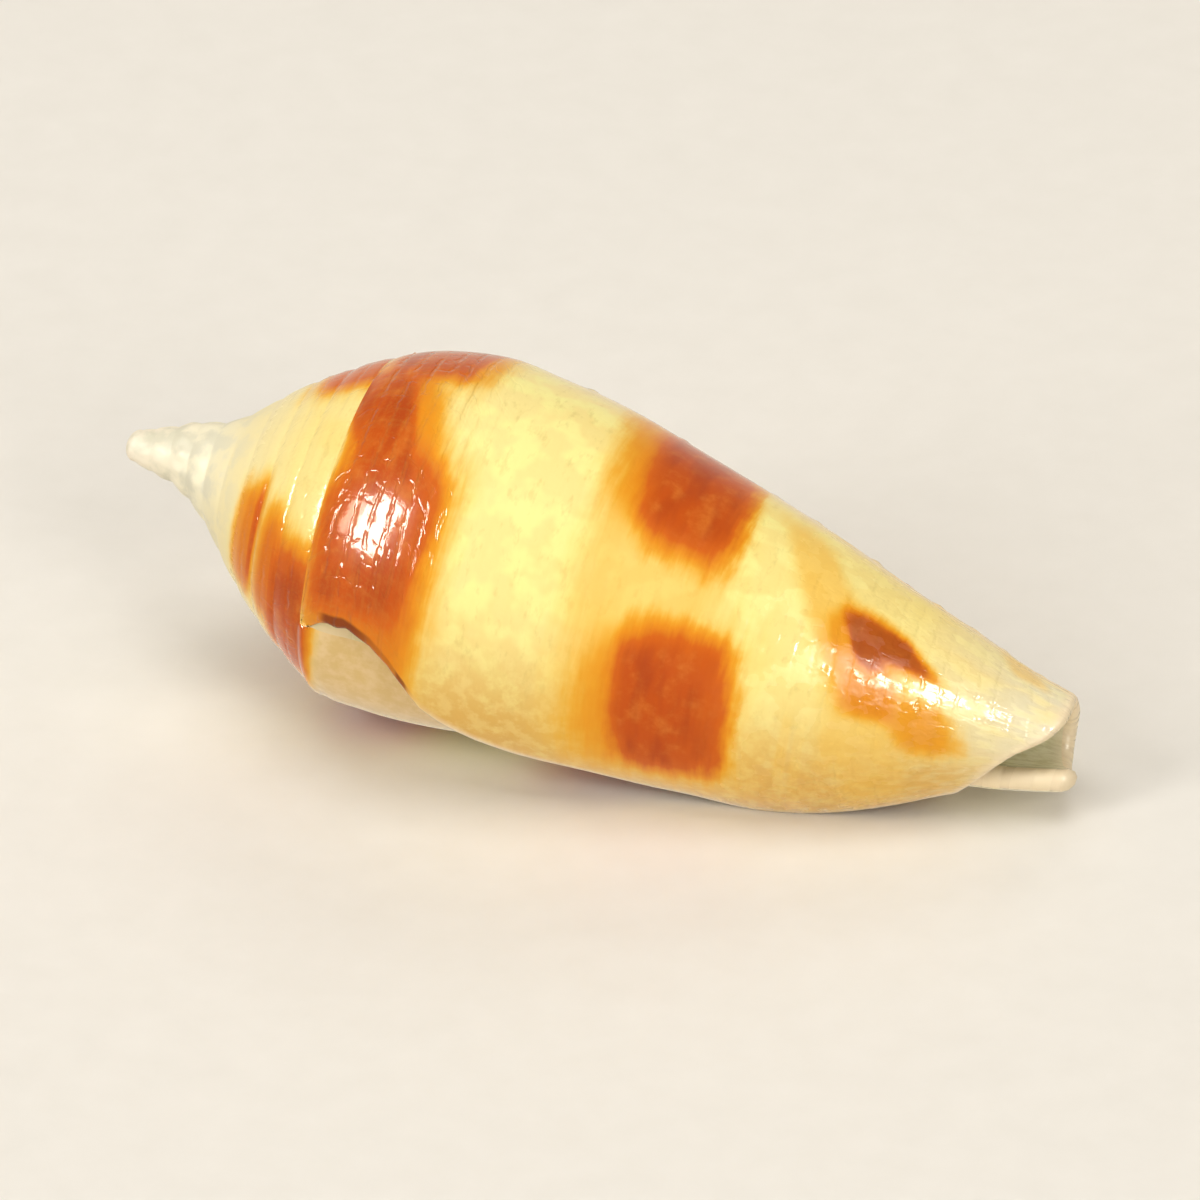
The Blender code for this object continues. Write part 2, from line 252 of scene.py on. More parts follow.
    def slit(self, phi: Array, x: Array, outer: Array) -> tuple[Array, Array]:
        """Radii of the slit's roof and floor.

        Args:
            phi: growth angle.
            x: distance along the axis.
            outer: radius of the outside there.

        Returns:
            Radius of the roof, under the lip's wall, and of the floor, on the whorl before.
        """
        past = np.maximum(x - self.seat(phi), 0.0)
        thick = np.clip(past / self.wall_thickens_over, 0.0, 1.0)
        wall = self.wall_at_seat + (self.wall - self.wall_at_seat) * thick
        gap = self.slit_least * np.clip(past / self.slit_opens_over, 0.0, 1.0)
        floor = self.radius(phi - TURN, x) - self.floor_drop * np.maximum(x - self.floor_ends, 0.0)
        clears = np.clip((self.lip_angle - phi) / self.slit_clears_in, 0.0, 1.0)
        floor = floor - clears * np.maximum(floor + gap + wall - outer, 0.0)
        return outer - np.minimum(wall, self.wall_share * (outer - floor)), floor


@dataclass(frozen=True)
class Nodule:
    """Single small lump on the outside.

    Attributes:
        angle: growth angle.
        along: distance along the axis.
        reach: half width.
        height: height of the lump.
    """

    angle: float
    along: float
    reach: float
    height: float


@dataclass(frozen=True)
class Sculpture:
    """Relief of the outside: sutures, whorl bulge, early knobs, beaded spiral cords, lumps.

    Attributes:
        suture_sink, far_sink_share, sink_share: depth of the suture, its share on the far side, and
            the share of the whorl that it takes.
        whorl_bulge, bulge_fades_over, least_size: height of the bulge, the whorls over which it
            fades, and the share that the first whorl has of all this.
        wear_*: wear of the tip, where it ends and how it fades, and its waves, by turns, by
            millimetres along the axis and by shift.
        knob_height, knobs_*: knobs of the early whorls.
        thread_*: thread past the notch.
        cords_*, cord_*: count of cords, their heights, and how these vary.
        bead_*: how the beads deepen the cords and wander.
        rest_height, rests: growth rests, by period and shift.
        nodules: the single lumps.
    """

    suture_sink: float = 0.026
    far_sink_share: float = 0.5
    sink_share: float = 0.08
    whorl_bulge: float = 0.030
    bulge_fades_over: float = 3.0
    least_size: float = 0.6
    wear: float = 0.020
    wear_ends: float = 3.4
    wear_fades_over: float = 1.5
    wear_starts_over: float = 0.4
    wear_waves: tuple[tuple[float, float, float], ...] = (
        (2.0, 3.1, 0.0), (0.0, 4.3, 0.8), (5.0, -6.4, 0.0), (9.0, 11.0, 0.0), (-3.0, 7.7, 0.0),
    )
    wear_shares: tuple[float, float, float] = (0.6, 0.5, 0.3)
    knob_height: float = 0.028
    knobs_per_whorl: int = 12
    knobs_from: float = 0.6
    knobs_to: float = 4.6
    knobs_rise_over: float = 0.5
    knobs_fade_over: float = 1.2
    thread_height: float = 0.12
    thread_middle: float = 0.14
    thread_reach: float = 0.26
    thread_angle: float = 90.0
    cords_on_spire: float = 2.0
    cords_per_step: float = 2.25
    cord_heights: Curve = Curve((
        (3.0, 0.008), (4.0, 0.022), (5.6, 0.022), (6.6, 0.005), (9.0, 0.003), (11.0, 0.003),
        (16.0, 0.003), (18.5, 0.004), (20.0, 0.005), (24.0, 0.008),
    ))
    cords_start: float = 1.5
    cords_rise_over: float = 6.0
    cord_uneven: float = 0.25
    cord_periods: tuple[float, float] = (3.7, 31.0)
    bead_share: float = 0.6
    bead_wander: tuple[float, float] = (0.9, 2.1)
    bead_drift: tuple[float, float] = (0.7, 17.0)
    rest_height: float = 0.004
    rests: tuple[tuple[float, float], ...] = ((23.0, 0.0), (37.0, 1.1), (9.1, 2.3), (14.3, 0.7))
    nodules: tuple[Nodule, ...] = (
        Nodule(-92.0, 6.12, 0.10, 0.10),
        Nodule(-90.0, 10.75, 0.24, 0.045),
        Nodule(-89.0, 13.3, 0.22, 0.03),
        Nodule(-91.0, 15.9, 0.24, 0.02),
        Nodule(-89.0, 17.1, 0.24, 0.025),
        Nodule(-88.0, 18.8, 0.24, 0.045),
        Nodule(-92.0, 19.7, 0.22, 0.02),
        Nodule(-88.0, 20.6, 0.22, 0.035),
        Nodule(-90.0, 21.6, 0.22, 0.025),
        Nodule(-87.0, 22.5, 0.22, 0.03),
        Nodule(-90.0, 23.5, 0.22, 0.02),
    )

    def spire(self, growth: Growth, q: Array, v: Array, phi: Array) -> Array:
        """Height of the spire's sutures, bulge and knobs.

        Args:
            growth: how the shell grows.
            q: whorl count.
            v: share of the way to the next suture.
            phi: growth angle.

        Returns:
            The height there.
        """
        size = np.clip(self.least_size + (1.0 - self.least_size) * q / growth.whorls, 0.0, 1.0)
        near = np.exp(-v / self.sink_share)
        far = self.far_sink_share * np.exp(-(1.0 - v) / self.sink_share)
        arch = np.sin(np.pi * np.clip(v, 0.0, 1.0))
        rise = np.clip((q - self.knobs_from) / self.knobs_rise_over, 0.0, 1.0)
        fade = np.clip((self.knobs_to - q) / self.knobs_fade_over, 0.0, 1.0)
        wave = 0.5 + 0.5 * np.cos(np.radians(phi) * self.knobs_per_whorl)
        knobs = self.knob_height * rise * fade * wave * arch**2
        return self.whorl_bulge * arch - self.suture_sink * size * (near + far) + knobs

    def body(self, growth: Growth, base: Array, x: Array, top: Array, line: Array) -> Array:
        """Height of the body whorl's suture and bulge, and of the thread past the notch.

        Args:
            growth: how the shell grows.
            base: growth angle of the column.
            x: distance along the axis.
            top: where the whorl's own suture is.
            line: where the next suture would be.

        Returns:
            The height there.
        """
        v = (x - top) / (line - top)
        turned = base - (growth.lip_angle - TURN)
        blend = np.clip(1.0 - turned / self.thread_angle, 0.0, 1.0)
        fades = np.clip(1.0 - (v - 1.0) / self.bulge_fades_over, 0.0, 1.0)
        bulge = self.whorl_bulge * np.sin(0.5 * np.pi * np.clip(2.0 * v, 0.0, 1.0)) * fades
        own = bulge - self.suture_sink * np.exp(-v / self.sink_share)
        early = self.spire(growth, growth.whorls - 1.0, v, base)
        own = np.where(v < 1.0, own + blend * (early - own), own)
        thread = ease(1.0 - np.abs(x - line - self.thread_middle) / self.thread_reach)
        return own + self.thread_height * blend * thread

    def cord_phase(self, v: Array) -> Array:
        """Count of cords from the suture, at v steps of the suture away from it."""
        past = np.maximum(v - 1.0, 0.0)
        return self.cords_on_spire * np.minimum(v, 1.0) + self.cords_per_step * past

    def cords(self, phase: Array, lines: Array, q: Array, x: Array) -> Array:
        """Height of the beaded cords and of the growth rests.

        Args:
            phase: count of cords from the suture.
            lines: angle of the growth line.
            q: whorl count.
            x: distance along the axis.

        Returns:
            The height there.
        """
        wave = 0.5 - 0.5 * np.cos(2.0 * np.pi * phase)
        (wander, often), (drift, period) = self.bead_wander, self.bead_drift
        wander = wander * np.sin(phase * often) + drift * np.sin(lines / period + phase)
        bead = 0.5 + 0.5 * np.cos(2.0 * np.pi * lines / BEAD_ANGLE + wander)
        height = self.cord_heights.at(x)
        often, period = self.cord_periods
        uneven = 1.0 - self.cord_uneven + self.cord_uneven * np.sin(phase * often + lines / period)
        fade = np.clip(q - self.cords_start, 0.0, 1.0) * np.clip(q / self.cords_rise_over, 0.0, 1.0)
        beads = 1.0 - self.bead_share * (1.0 - bead)
        rests = sum(np.sin(lines / period + shift) for period, shift in self.rests)
        return fade * (height * uneven * wave * beads + self.rest_height * rests)

    def worn(self, phi: Array, x: Array) -> Array:
        """Uneven wear of the tip.

        Args:
            phi: growth angle.
            x: distance along the axis.

        Returns:
            The height there, mostly below 0.
        """
        a = np.radians(phi)
        waves = [np.sin(turns * a + often * x + shift) for turns, often, shift in self.wear_waves]
        broad, side, fine = self.wear_shares
        height = broad * (waves[0] * waves[1] + side * waves[2]) + fine * (waves[3] * waves[4])
        fade = rise(x, self.wear_ends, -self.wear_fades_over) * rise(x, 0.0, self.wear_starts_over)
        return self.wear * fade * (height - fine)

    def lumps(self, phi: Array, x: Array, radius: Array) -> Array:
        """Height of the single lumps.

        Args:
            phi: growth angle.
            x: distance along the axis.
            radius: distance from the axis.

        Returns:
            The height there.
        """
        height = np.zeros(np.broadcast(phi, x).shape)
        for lump in self.nodules:
            away = np.hypot(np.radians(phi - lump.angle) * radius, x - lump.along)
            height = height + lump.height * ease(1.0 - away / lump.reach)
        return height


@dataclass(frozen=True)
class Pigment:
    """Where one patch of pigment lies, and how strong it is.

    Attributes:
        angle, along: its centre, as growth angle and distance along the axis.
        half_angle, half_along: half its size.
        core: strength of its red-brown core.
        halo: strength of its orange-yellow halo.
        lean: how far it slides along the axis with each degree.
        softness, halo_softness: softness of the core's and the halo's outline, as a share of half
            the size.
        shift, reach, spread: how far the halo is set off along the axis, and how much longer and
            wider it is.
        coil: how it reads the growth angle.
        corner_power: how square the outline is.
    """

    angle: float
    along: float
    half_angle: float
    half_along: float
    core: float = 1.0
    halo: float = 1.0
    lean: float = 0.0
    softness: float = 0.28
    shift: float = -0.35
    reach: float = 0.45
    spread: float = 6.0
    coil: Coil = Coil.BODY
    corner_power: float = 4.0
    halo_softness: float = 0.45

    def inside(self, turned: Array, moved: Array, half_angle: float, half_along: float) -> Array:
        """How far inside a rounded outline a place is.

        Args:
            turned: angle from the outline's centre.
            moved: distance along the axis from it.
            half_angle: half the outline's angle.
            half_along: half its length.

        Returns:
            1 at the centre, 0 on the outline and negative outside.
        """
        across = np.abs(turned / half_angle) ** self.corner_power
        down = np.abs(moved / half_along) ** self.corner_power
        return 1.0 - (across + down) ** (1.0 / self.corner_power)

    def fields(self, growth: Array, along: Array, body_from: float) -> tuple[Array, Array]:
        """Fields of the core and of the halo.

        Args:
            growth: growth angle of each place.
            along: distance along the axis of each place.
            body_from: growth angle where the body whorl begins.

        Returns:
            How far inside the core and inside the halo each place is.
        """
        on_body = growth > body_from
        here = on_body if self.coil is Coil.BODY else ~on_body
        half = 0.5 * TURN
        angle = growth if self.coil is Coil.BODY else (growth + half) % TURN - half
        turned = angle - self.angle
        moved = along - self.along - self.lean * turned
        core = self.inside(turned, moved, self.half_angle, self.half_along)
        halo = self.inside(
            turned, moved - self.shift, self.half_angle + self.spread, self.half_along + self.reach)
        return np.where(here, core, FAR_OUTSIDE), np.where(here, halo, FAR_OUTSIDE)


@dataclass(frozen=True)
class Pattern:
    """The shell's colour pattern, as fields that the glaze turns into colours.

    Attributes:
        body_from: growth angle where the body whorl begins.
        union: how sharply patches that meet keep their own outlines.
        least_weight, least_softness: least values, which nothing falls below.
        tan_and_shade_*, rose_shade_*, bare_*: where the broad changes of the ground start and over
        what distance they rise, or fall where that is negative. The tan on the lip's side is partly
        the shell's own tan and partly painted shade of that side, which faces down; the rose on the
        upper side is painted warm shade toward that edge.
        pigments: the patches.
    """

    body_from: float = -318.5
    union: float = 8.0
    least_weight: float = 1e-9
    least_softness: float = 0.1
    # Tan: partly the shell's own, partly painted shade of the lip's side. Rose: painted warm shade
    # toward the upper edge.
    tan_and_shade_turned: tuple[float, float] = (8.0, 50.0)
    tan_and_shade_fades: tuple[float, float] = (21.5, 2.0)
    tan_and_shade_loses: float = 0.6
    rose_shade_turned: tuple[tuple[float, float], ...] = ((-112.0, 16.0), (-64.0, -22.0))
    rose_shade_along: tuple[float, float] = (9.0, 3.0)
    bare_turned: tuple[float, float] = (-262.0, -18.0)
    bare_along: tuple[tuple[float, float], ...] = ((6.1, 0.12), (13.0, -3.0))
    bare_before: float = 0.5
    pigments: tuple[Pigment, ...] = (
        Pigment(-82.0, 7.30, 27.0, 1.16, shift=0.2, reach=0.35),
        Pigment(-32.0, 6.82, 26.0, 0.84, lean=0.03, shift=0.5, reach=0.35, spread=8.0),
        Pigment(8.0, 7.60, 28.0, 1.40, softness=0.34, shift=0.1, reach=0.4),
        Pigment(44.0, 7.80, 24.0, 1.20, core=0.5, halo=0.75, softness=0.5, shift=0.2, reach=0.3),
        Pigment(-56.0, 14.60, 34.0, 1.30, lean=0.008, shift=-0.55, reach=0.45, spread=8.0),
        Pigment(
            33.0, 15.68, 29.5, 1.42, lean=0.004, shift=-0.65, reach=0.6, spread=9.0,
            halo_softness=0.75),
        Pigment(-8.0, 14.7, 24.0, 1.5, core=0.0, halo=0.46),
        Pigment(
            -17.0, 19.55, 12.0, 0.52, core=0.95, lean=0.015, softness=0.45, shift=-0.1, reach=0.4),
        Pigment(-21.0, 20.15, 7.5, 0.75, core=0.9, lean=0.06, softness=0.5, shift=0.0, reach=0.3),
        Pigment(8.0, 20.1, 12.0, 0.65, core=0.28, halo=0.75, lean=0.02, softness=0.5, shift=0.0),
        Pigment(19.0, 21.4, 14.0, 0.50, core=0.12, halo=0.75, lean=0.02, softness=0.6, shift=0.0),
        Pigment(30.0, 20.4, 12.0, 0.5, core=0.0, halo=0.4, softness=0.5),
        Pigment(-38.0, 18.15, 26.0, 0.35, core=0.0, halo=0.5, lean=0.036, shift=0.0),
        Pigment(-14.0, 19.2, 12.0, 0.35, core=0.15, halo=0.7, lean=0.03, shift=0.0),
        Pigment(-66.0, 23.2, 9.0, 0.32, core=0.0, halo=0.42, lean=0.02, shift=0.0, reach=0.3),
        Pigment(42.0, 18.45, 14.0, 0.07, core=0.0, halo=0.3, shift=0.0, reach=0.07, spread=4.0),
        Pigment(46.0, 18.80, 18.0, 0.06, core=0.0, halo=0.25, shift=0.0, reach=0.07, spread=4.0),
        Pigment(54.0, 20.6, 20.0, 0.35, core=0.0, halo=0.35, shift=0.0),
        Pigment(-150.0, 7.6, 22.0, 1.2, shift=0.2),
        Pigment(-226.0, 7.5, 32.0, 1.15, shift=0.3),
        Pigment(-138.0, 14.6, 24.0, 1.4, lean=0.008, shift=-0.5),
        Pigment(-208.0, 14.3, 26.0, 1.5, lean=0.008, shift=-0.6),
        Pigment(-262.0, 14.1, 18.0, 1.3, shift=-0.5),
        Pigment(-110.0, 19.9, 16.0, 0.9, core=0.8, softness=0.4, shift=-0.3),
        Pigment(-178.0, 20.0, 20.0, 1.0, core=0.95, softness=0.35, shift=-0.3),
        Pigment(-240.0, 20.2, 18.0, 1.0, core=0.9, softness=0.35, shift=-0.3),
        Pigment(-74.0, 5.4, 22.0, 0.78, core=0.8, halo=0.8, coil=Coil.SPIRE, shift=0.0),
        Pigment(47.0, 5.72, 27.0, 0.62, softness=0.5, coil=Coil.SPIRE, shift=0.0, reach=0.15),
        Pigment(-313.0, 5.75, 27.0, 0.66, softness=0.5, shift=0.0, reach=0.15),
        Pigment(
            34.0, 4.90, 24.0, 0.20, core=0.35, softness=0.5, coil=Coil.SPIRE, shift=0.0, reach=0.2),
        Pigment(31.0, 4.14, 27.0, 0.20, core=0.22, coil=Coil.SPIRE, shift=-0.1, reach=0.2),
        Pigment(
            25.0, 4.32, 24.0, 0.08, core=0.8, softness=0.5, coil=Coil.SPIRE, shift=0.0, reach=0.1),
        Pigment(138.0, 5.3, 28.0, 0.7, core=0.9, coil=Coil.SPIRE, shift=0.0),
        Pigment(-142.0, 4.7, 20.0, 0.6, core=0.6, softness=0.4, coil=Coil.SPIRE, shift=0.0),
    )

    def pigment(self, growth: Array, along: Array) -> tuple[Array, Array]:
        """Fields of the cores and of the halos.

        Args:
            growth: growth angle of each corner.
            along: distance along the axis of each corner.

        Returns:
            For the cores and for the halos, how far inside each corner is, the strength of the
            nearest patch, and its softness.
        """
        layers = []
        for layer in (0, 1):
            total = np.full(len(growth), self.least_weight)
            strength, softness = np.zeros((2, len(growth)))
            for item in self.pigments:
                amount, soft = ((item.core, item.softness), (item.halo, item.halo_softness))[layer]
                if not amount:
                    continue
                inside = item.fields(growth, along, self.body_from)[layer]
                weight = np.exp(self.union * inside)
                total += weight
                strength += weight * amount
                softness += weight * soft
            softness = np.maximum(softness / total, self.least_softness)
            layers.append(np.stack([np.log(total) / self.union, strength / total, softness], -1))
        return layers[0], layers[1]

    def wash(self, growth: Array, along: Array) -> Array:
        """Broad changes of the ground colour.

        Args:
            growth: growth angle of each corner.
            along: distance along the axis of each corner.

        Returns:
            Shares of tan near the lip, partly painted shade of that side, of rose on the upper side,
            painted warm shade toward that edge, and of the bare patch behind the lip.
        """
        # Painted shade: the tan darkens the lip's side, which faces down, and the rose warms the
        # upper side toward its edge; the bare patch is the shell's own colour.
        tan = 1.0 - self.tan_and_shade_loses * rise(along, *self.tan_and_shade_fades)
        tan = rise(growth, *self.tan_and_shade_turned) * tan
        (first, last), (rear, fore) = self.rose_shade_turned, self.bare_along
        rose_shade = rise(growth, *first) * rise(growth, *last) * rise(along, *self.rose_shade_along)
        bare = rise(growth, *self.bare_turned) * rise(along, *rear)
        bare = bare * (growth > self.body_from - self.bare_before) * rise(along, *fore)
        return np.stack([tan, rose_shade, bare], -1)


MARKS = 7
TO_LIP = 4
TO_FRONT = 5


@dataclass
class Patch:
    """Grid of mesh points, columns by rows, with what the finishes read at each.

    Attributes:
        index: number of each point.
        marks: growth angle, distance along the axis, growth line's angle, distance from the suture,
            to the lip and to the front edge, and count of cords, last.
        points: where the points are, on patches whose edges are rounded.
    """

    index: Array
    marks: Array
    points: Array | None = None

    def __getitem__(self, key: tuple[slice, slice | Array]) -> "Patch":
        """Part of the patch, by some of its columns and some of its rows."""
        points = None if self.points is None else self.points[key]
        return Patch(self.index[key], self.marks[key], points)

    def turned(self) -> "Patch":
        """The patch with its rows as columns."""
        return Patch(*(values.swapaxes(0, 1) for values in (self.index, self.marks, self.points)))

    def beside(self, other: "Patch") -> "Patch":
        """The patch with another one's columns after its own, without the points."""
        pairs = ((self.index, other.index), (self.marks, other.marks))
        return Patch(*(np.concatenate(pair) for pair in pairs))


class Spots(NamedTuple):
    """Where the points of the body whorl's outside lie.

    Attributes:
        phi, x: growth angle, and distance along the axis.
        top, line: where the whorl's own suture is, and where the next one would be.
        base, lines: growth angle of the column, and angle of the growth line.
    """

    phi: Array
    x: Array
    top: Array
    line: Array
    base: Array
    lines: Array


class MeshBook:
    """Points and faces of one mesh, gathered patch by patch."""

    def __init__(self) -> None:
        """Start with no points and no faces."""
        self.points: list[Array] = []
        self.count = 0
        self.faces: list[list[int]] = []
        self.marks: list[Array] = []
        self.sides: list[int] = []

    def add(self, points: Array) -> Array:
        """Add points.

        Args:
            points: the points, with the coordinates last.

        Returns:
            Their numbers, in the same grid.
        """
        grid = points.shape[:-1]
        self.points.append(points.reshape(-1, 3))
        size = int(np.prod(grid))
        self.count += size
        return np.arange(self.count - size, self.count).reshape(grid)

    def polygons(self, corners: list[Patch], side: Side) -> None:
        """Add faces, without corners that repeat and without faces that these leave empty.

        Args:
            corners: for each corner of the faces, a patch with that corner of every face.
            side: finish of the faces.
        """
        rings = np.stack([corner.index for corner in corners], -1).reshape(-1, len(corners))
        marks = np.stack([corner.marks for corner in corners], -2).reshape(*rings.shape, MARKS)
        for ring, notes in zip(rings.tolist(), marks):
            keep = [i for i, corner in enumerate(ring) if corner != ring[i - 1]]
            if len(keep) > 2 and len({ring[i] for i in keep}) == len(keep):
                self.faces.append([ring[i] for i in keep])
                self.marks.append(notes[keep])
                self.sides.append(side.value)

    def quilt(self, patch: Patch, side: Side) -> None:
        """Cover a patch with quads."""
        self.polygons([patch[:-1, :-1], patch[:-1, 1:], patch[1:, 1:], patch[1:, :-1]], side)

    def hem(self, fine: Patch, coarse: Patch, side: Side) -> None:
        """Join a column of points to one that has every other point of it."""
        middle = [fine[:, :-1:2], fine[:, 1::2], fine[:, 2::2]]
        self.polygons([coarse[:, :-1], *middle, coarse[:, 1:]], side)

    def fan(self, tip: Array, loop: Patch, side: Side) -> None:
        """Close a loop of points onto one point that is added.

        Args:
            tip: where that point is.
            loop: one column of points round it; the tip takes the first one's marks.
            side: finish of the faces.
        """
        index = np.full(loop.index.shape, self.add(tip[None, :])[0])
        middle = Patch(index, np.broadcast_to(loop.marks[:, :1], loop.marks.shape))
        following = Patch(np.roll(loop.index, -1, 1), np.roll(loop.marks, -1, 1))
        self.polygons([middle, loop, following], side)

    def mesh(self, name: str, turn: Matrix, pattern: Pattern) -> bpy.types.Mesh:
        """Make the mesh, with its marks on every corner and its faces turned outward.

        Args:
            name: name of the mesh.
            turn: how the points are laid down in the frame.
            pattern: colour pattern to write beside the marks.

        Returns:
            The mesh.
        """
        data = bpy.data.meshes.new(name)
        data.from_pydata(np.concatenate(self.points).tolist(), [], self.faces)
        data.transform(turn)
        marks = np.concatenate(self.marks)
        core, halo = pattern.pigment(marks[:, 0], marks[:, 1])
        wash = pattern.wash(marks[:, 0], marks[:, 1])
        fields = {
            "chart": marks[:, :3], "edges": marks[:, 3:6], "core": core, "halo": halo, "wash": wash,
            "cords": marks[:, 6],
        }
        for key, values in fields.items():
            kind, entry = ("FLOAT", "value") if values.ndim == 1 else ("FLOAT_VECTOR", "vector")
            attribute = data.attributes.new(key, kind, "CORNER")
            attribute.data.foreach_set(entry, np.ascontiguousarray(values, np.float32).ravel())
        data.polygons.foreach_set("material_index", self.sides)
        work = bmesh.new()
        work.from_mesh(data)
        bmesh.ops.recalc_face_normals(work, faces=work.faces)
        open_edges = sum(1 for edge in work.edges if len(edge.link_faces) != 2)
        work.to_mesh(data)
        work.free()
        LOG.info("%s: %d faces, %d open edges", name, len(self.faces), open_edges)
        return data


@dataclass
class Shell:
    """The whole shell as one piece, from its tip to the canal.

    Attributes:
        columns: mesh steps in a turn.
        spire_rows: shares of the way from a suture to the next where the spire has rows.
        body_rows, body_crowding: rows from the next suture's line to the front edge, and how they
            crowd toward that line.
        rim_steps: steps round a rounded edge.
        core_rows_short, core_tip: how many rows short of the front edge the core ends, and how far
            along the axis its tip is.
        canal_opening, canal_columns, canal_from, canal_full: how far the canal's free edge is
            turned back, over how many columns, and between which shares of the rows.
        stretch_from, lip_passes, edge_from: share of the turn from which the columns follow the
            lip, passes that settle them, and share of the rows over which the edge's rounding
            starts.
        dome_rings: rings of the dome over the spire's first turn.
        rest_roll, rest_pitch, rest_place: turn that lays the shell on its aperture side, and where
            its own origin then lies in the frame.
    """

    growth: Growth = field(default_factory=Growth)
    sculpture: Sculpture = field(default_factory=Sculpture)
    pattern: Pattern = field(default_factory=Pattern)
    columns: int = 192
    spire_rows: tuple[float, ...] = (0.0, 0.07, 0.16, 0.3, 0.44, 0.58, 0.72, 0.86, 0.94, 1.0)
    body_rows: int = 279
    body_crowding: float = 1.06
    rim_steps: int = 5
    core_rows_short: int = 36
    core_tip: float = 22.6
    canal_opening: float = 40.0
    canal_columns: float = 32.0
    canal_from: float = 0.80
    canal_full: float = 0.88
    stretch_from: float = 0.5
    lip_passes: int = 4
    edge_from: float = 0.02
    dome_rings: int = 8
    rest_roll: float = 54.4
    rest_pitch: float = 9.9
    rest_place: tuple[float, float, float] = (-12.370, 0.076, 6.059)

    def __post_init__(self) -> None:
        """Work out the rows and start the mesh."""
        self.spire_last = len(self.spire_rows) - 1
        self.last_row = self.spire_last + self.body_rows
        self.core_row = self.last_row - self.core_rows_short
        self.deep = round(self.growth.slit_depth / TURN * self.columns)
        past = np.arange(self.body_rows + 1 - self.rim_steps) / (self.body_rows - self.rim_steps)
        first = self.growth.seat_share
        start = first * np.arange(self.rim_steps) / self.rim_steps
        self.shares = np.concatenate([start, first + (1.0 - first) * past**self.body_crowding])
        self.book = MeshBook()

    def build(self) -> bpy.types.Object:
        """Grow the shell and lay it down.

        Returns:
            The shell's object, without its finish.
        """
        strip = self.build_spire()
        self.build_dome(strip)
        self.build_body(strip)
        roll = Matrix.Rotation(math.radians(self.rest_roll), 4, "X")
        pitch = Matrix.Rotation(math.radians(self.rest_pitch), 4, "Y")
        put = Matrix.Translation(Vector(self.rest_place))
        data = self.book.mesh("grown_shell", Matrix.Scale(MM, 4) @ put @ pitch @ roll, self.pattern)
        places = np.zeros(len(data.vertices) * 3, np.float32)
        data.vertices.foreach_get("co", places)
        places[2::3] = np.maximum(places[2::3], 0.0)
        data.vertices.foreach_set("co", places)
        data.update()
        data.shade_smooth()
        shell = bpy.data.objects.new("grown_shell", data)
        bpy.context.scene.collection.objects.link(shell)
        return shell

    def marks(self, phi: Array, x: Array, lines: Array, top: Array, v: Array) -> Array:
        """What the finishes read at points of the outside.

        Args:
            phi, x: growth angle, and distance along the axis.
            lines: angle of the growth line.
            top, v: where the suture is, and steps of the suture away from it.

        Returns:
            The marks, last.
        """
        growth = self.growth
        to_lip = np.radians(growth.lip_line.straight(x - top) - phi) * growth.radius(phi, x)
        to_front = growth.front.at(phi) - x
        phase = self.sculpture.cord_phase(v)
        return np.stack(np.broadcast_arrays(phi, x, lines, x - top, to_lip, to_front, phase), -1)

    def growth_line(self, phi: Array, from_suture: Array) -> Array:
        """Angle of the growth line through a point, as it was when it was the lip."""
        return phi - (self.growth.lip_line.straight(from_suture) - self.growth.lip_angle)

    def build_spire(self) -> Patch:
        """Add the spire's strip, which starts as a wedge on a ring.

        Returns:
            The strip, one column for each step of the growth angle.
        """
        growth, sculpture, turn = self.growth, self.sculpture, self.columns
        column = np.arange(-turn, (growth.whorls - 1) * turn + 1)[:, None]
        v = np.array(self.spire_rows)[None, :]
        q = column / turn
        phi = growth.lip_angle + TURN * (q - growth.whorls)
        top = growth.suture(q)
        x = top + v * (growth.suture(q + 1.0) - top)
        lines = self.growth_line(phi, x - top)
        marks = self.marks(phi + 0.0 * x, x, lines, top, v + 0.0 * x)
        height = sculpture.spire(growth, q, v, phi) * np.minimum(1.0, q + 1.0)
        height = height + sculpture.cords(marks[..., -1], lines, q, x)
        radius = growth.radius(phi, x)
        height = height + sculpture.lumps(phi + TURN, x, radius) + sculpture.worn(phi, x)
        height[: turn + 1, 0] = 0.0
        points = growth.place(phi + 0.0 * x, x, radius + height)
        index = np.zeros(x.shape, int)
        for spot in (np.s_[:1, 0], np.s_[1:turn, 0], np.s_[1:, 1:]):
            index[spot] = self.book.add(points[spot])
        index[0] = index[0, 0]
        index[turn:, 0] = index[:-turn, -1]
        strip = Patch(index, marks)
        self.book.quilt(strip, Side.GLAZE)
        return strip

    def build_dome(self, strip: Patch) -> None:
        """Add the smooth dome over the spire's first turn.

        Args:
            strip: the spire's strip.
        """
        growth = self.growth
        ring_x, ring_radius = SPIRE_OUTLINE[0]
        step = np.arange(self.dome_rings)[:, None] / self.dome_rings
        angle = 0.5 * np.pi * step
        column = np.arange(self.columns)[None, :]
        phi = growth.lip_angle + TURN * column / self.columns + 0.0 * step
        x = growth.apex + (ring_x - growth.apex) * (1.0 - np.sin(angle)) + 0.0 * phi
        index = np.zeros(x.shape, int)
        index[0] = strip.index[: self.columns, 0]
        index[1:] = self.book.add(growth.place(phi, x, ring_radius * np.cos(angle))[1:])
        marks = self.marks(phi - TURN * growth.whorls, x, phi, x, 0.0 * x)
        dome = Patch(index, marks)
        self.book.quilt(dome[:, np.arange(self.columns + 1) % self.columns], Side.GLAZE)
        self.book.fan(np.array([growth.apex, 0.0, 0.0]), dome[-1:, :], Side.GLAZE)

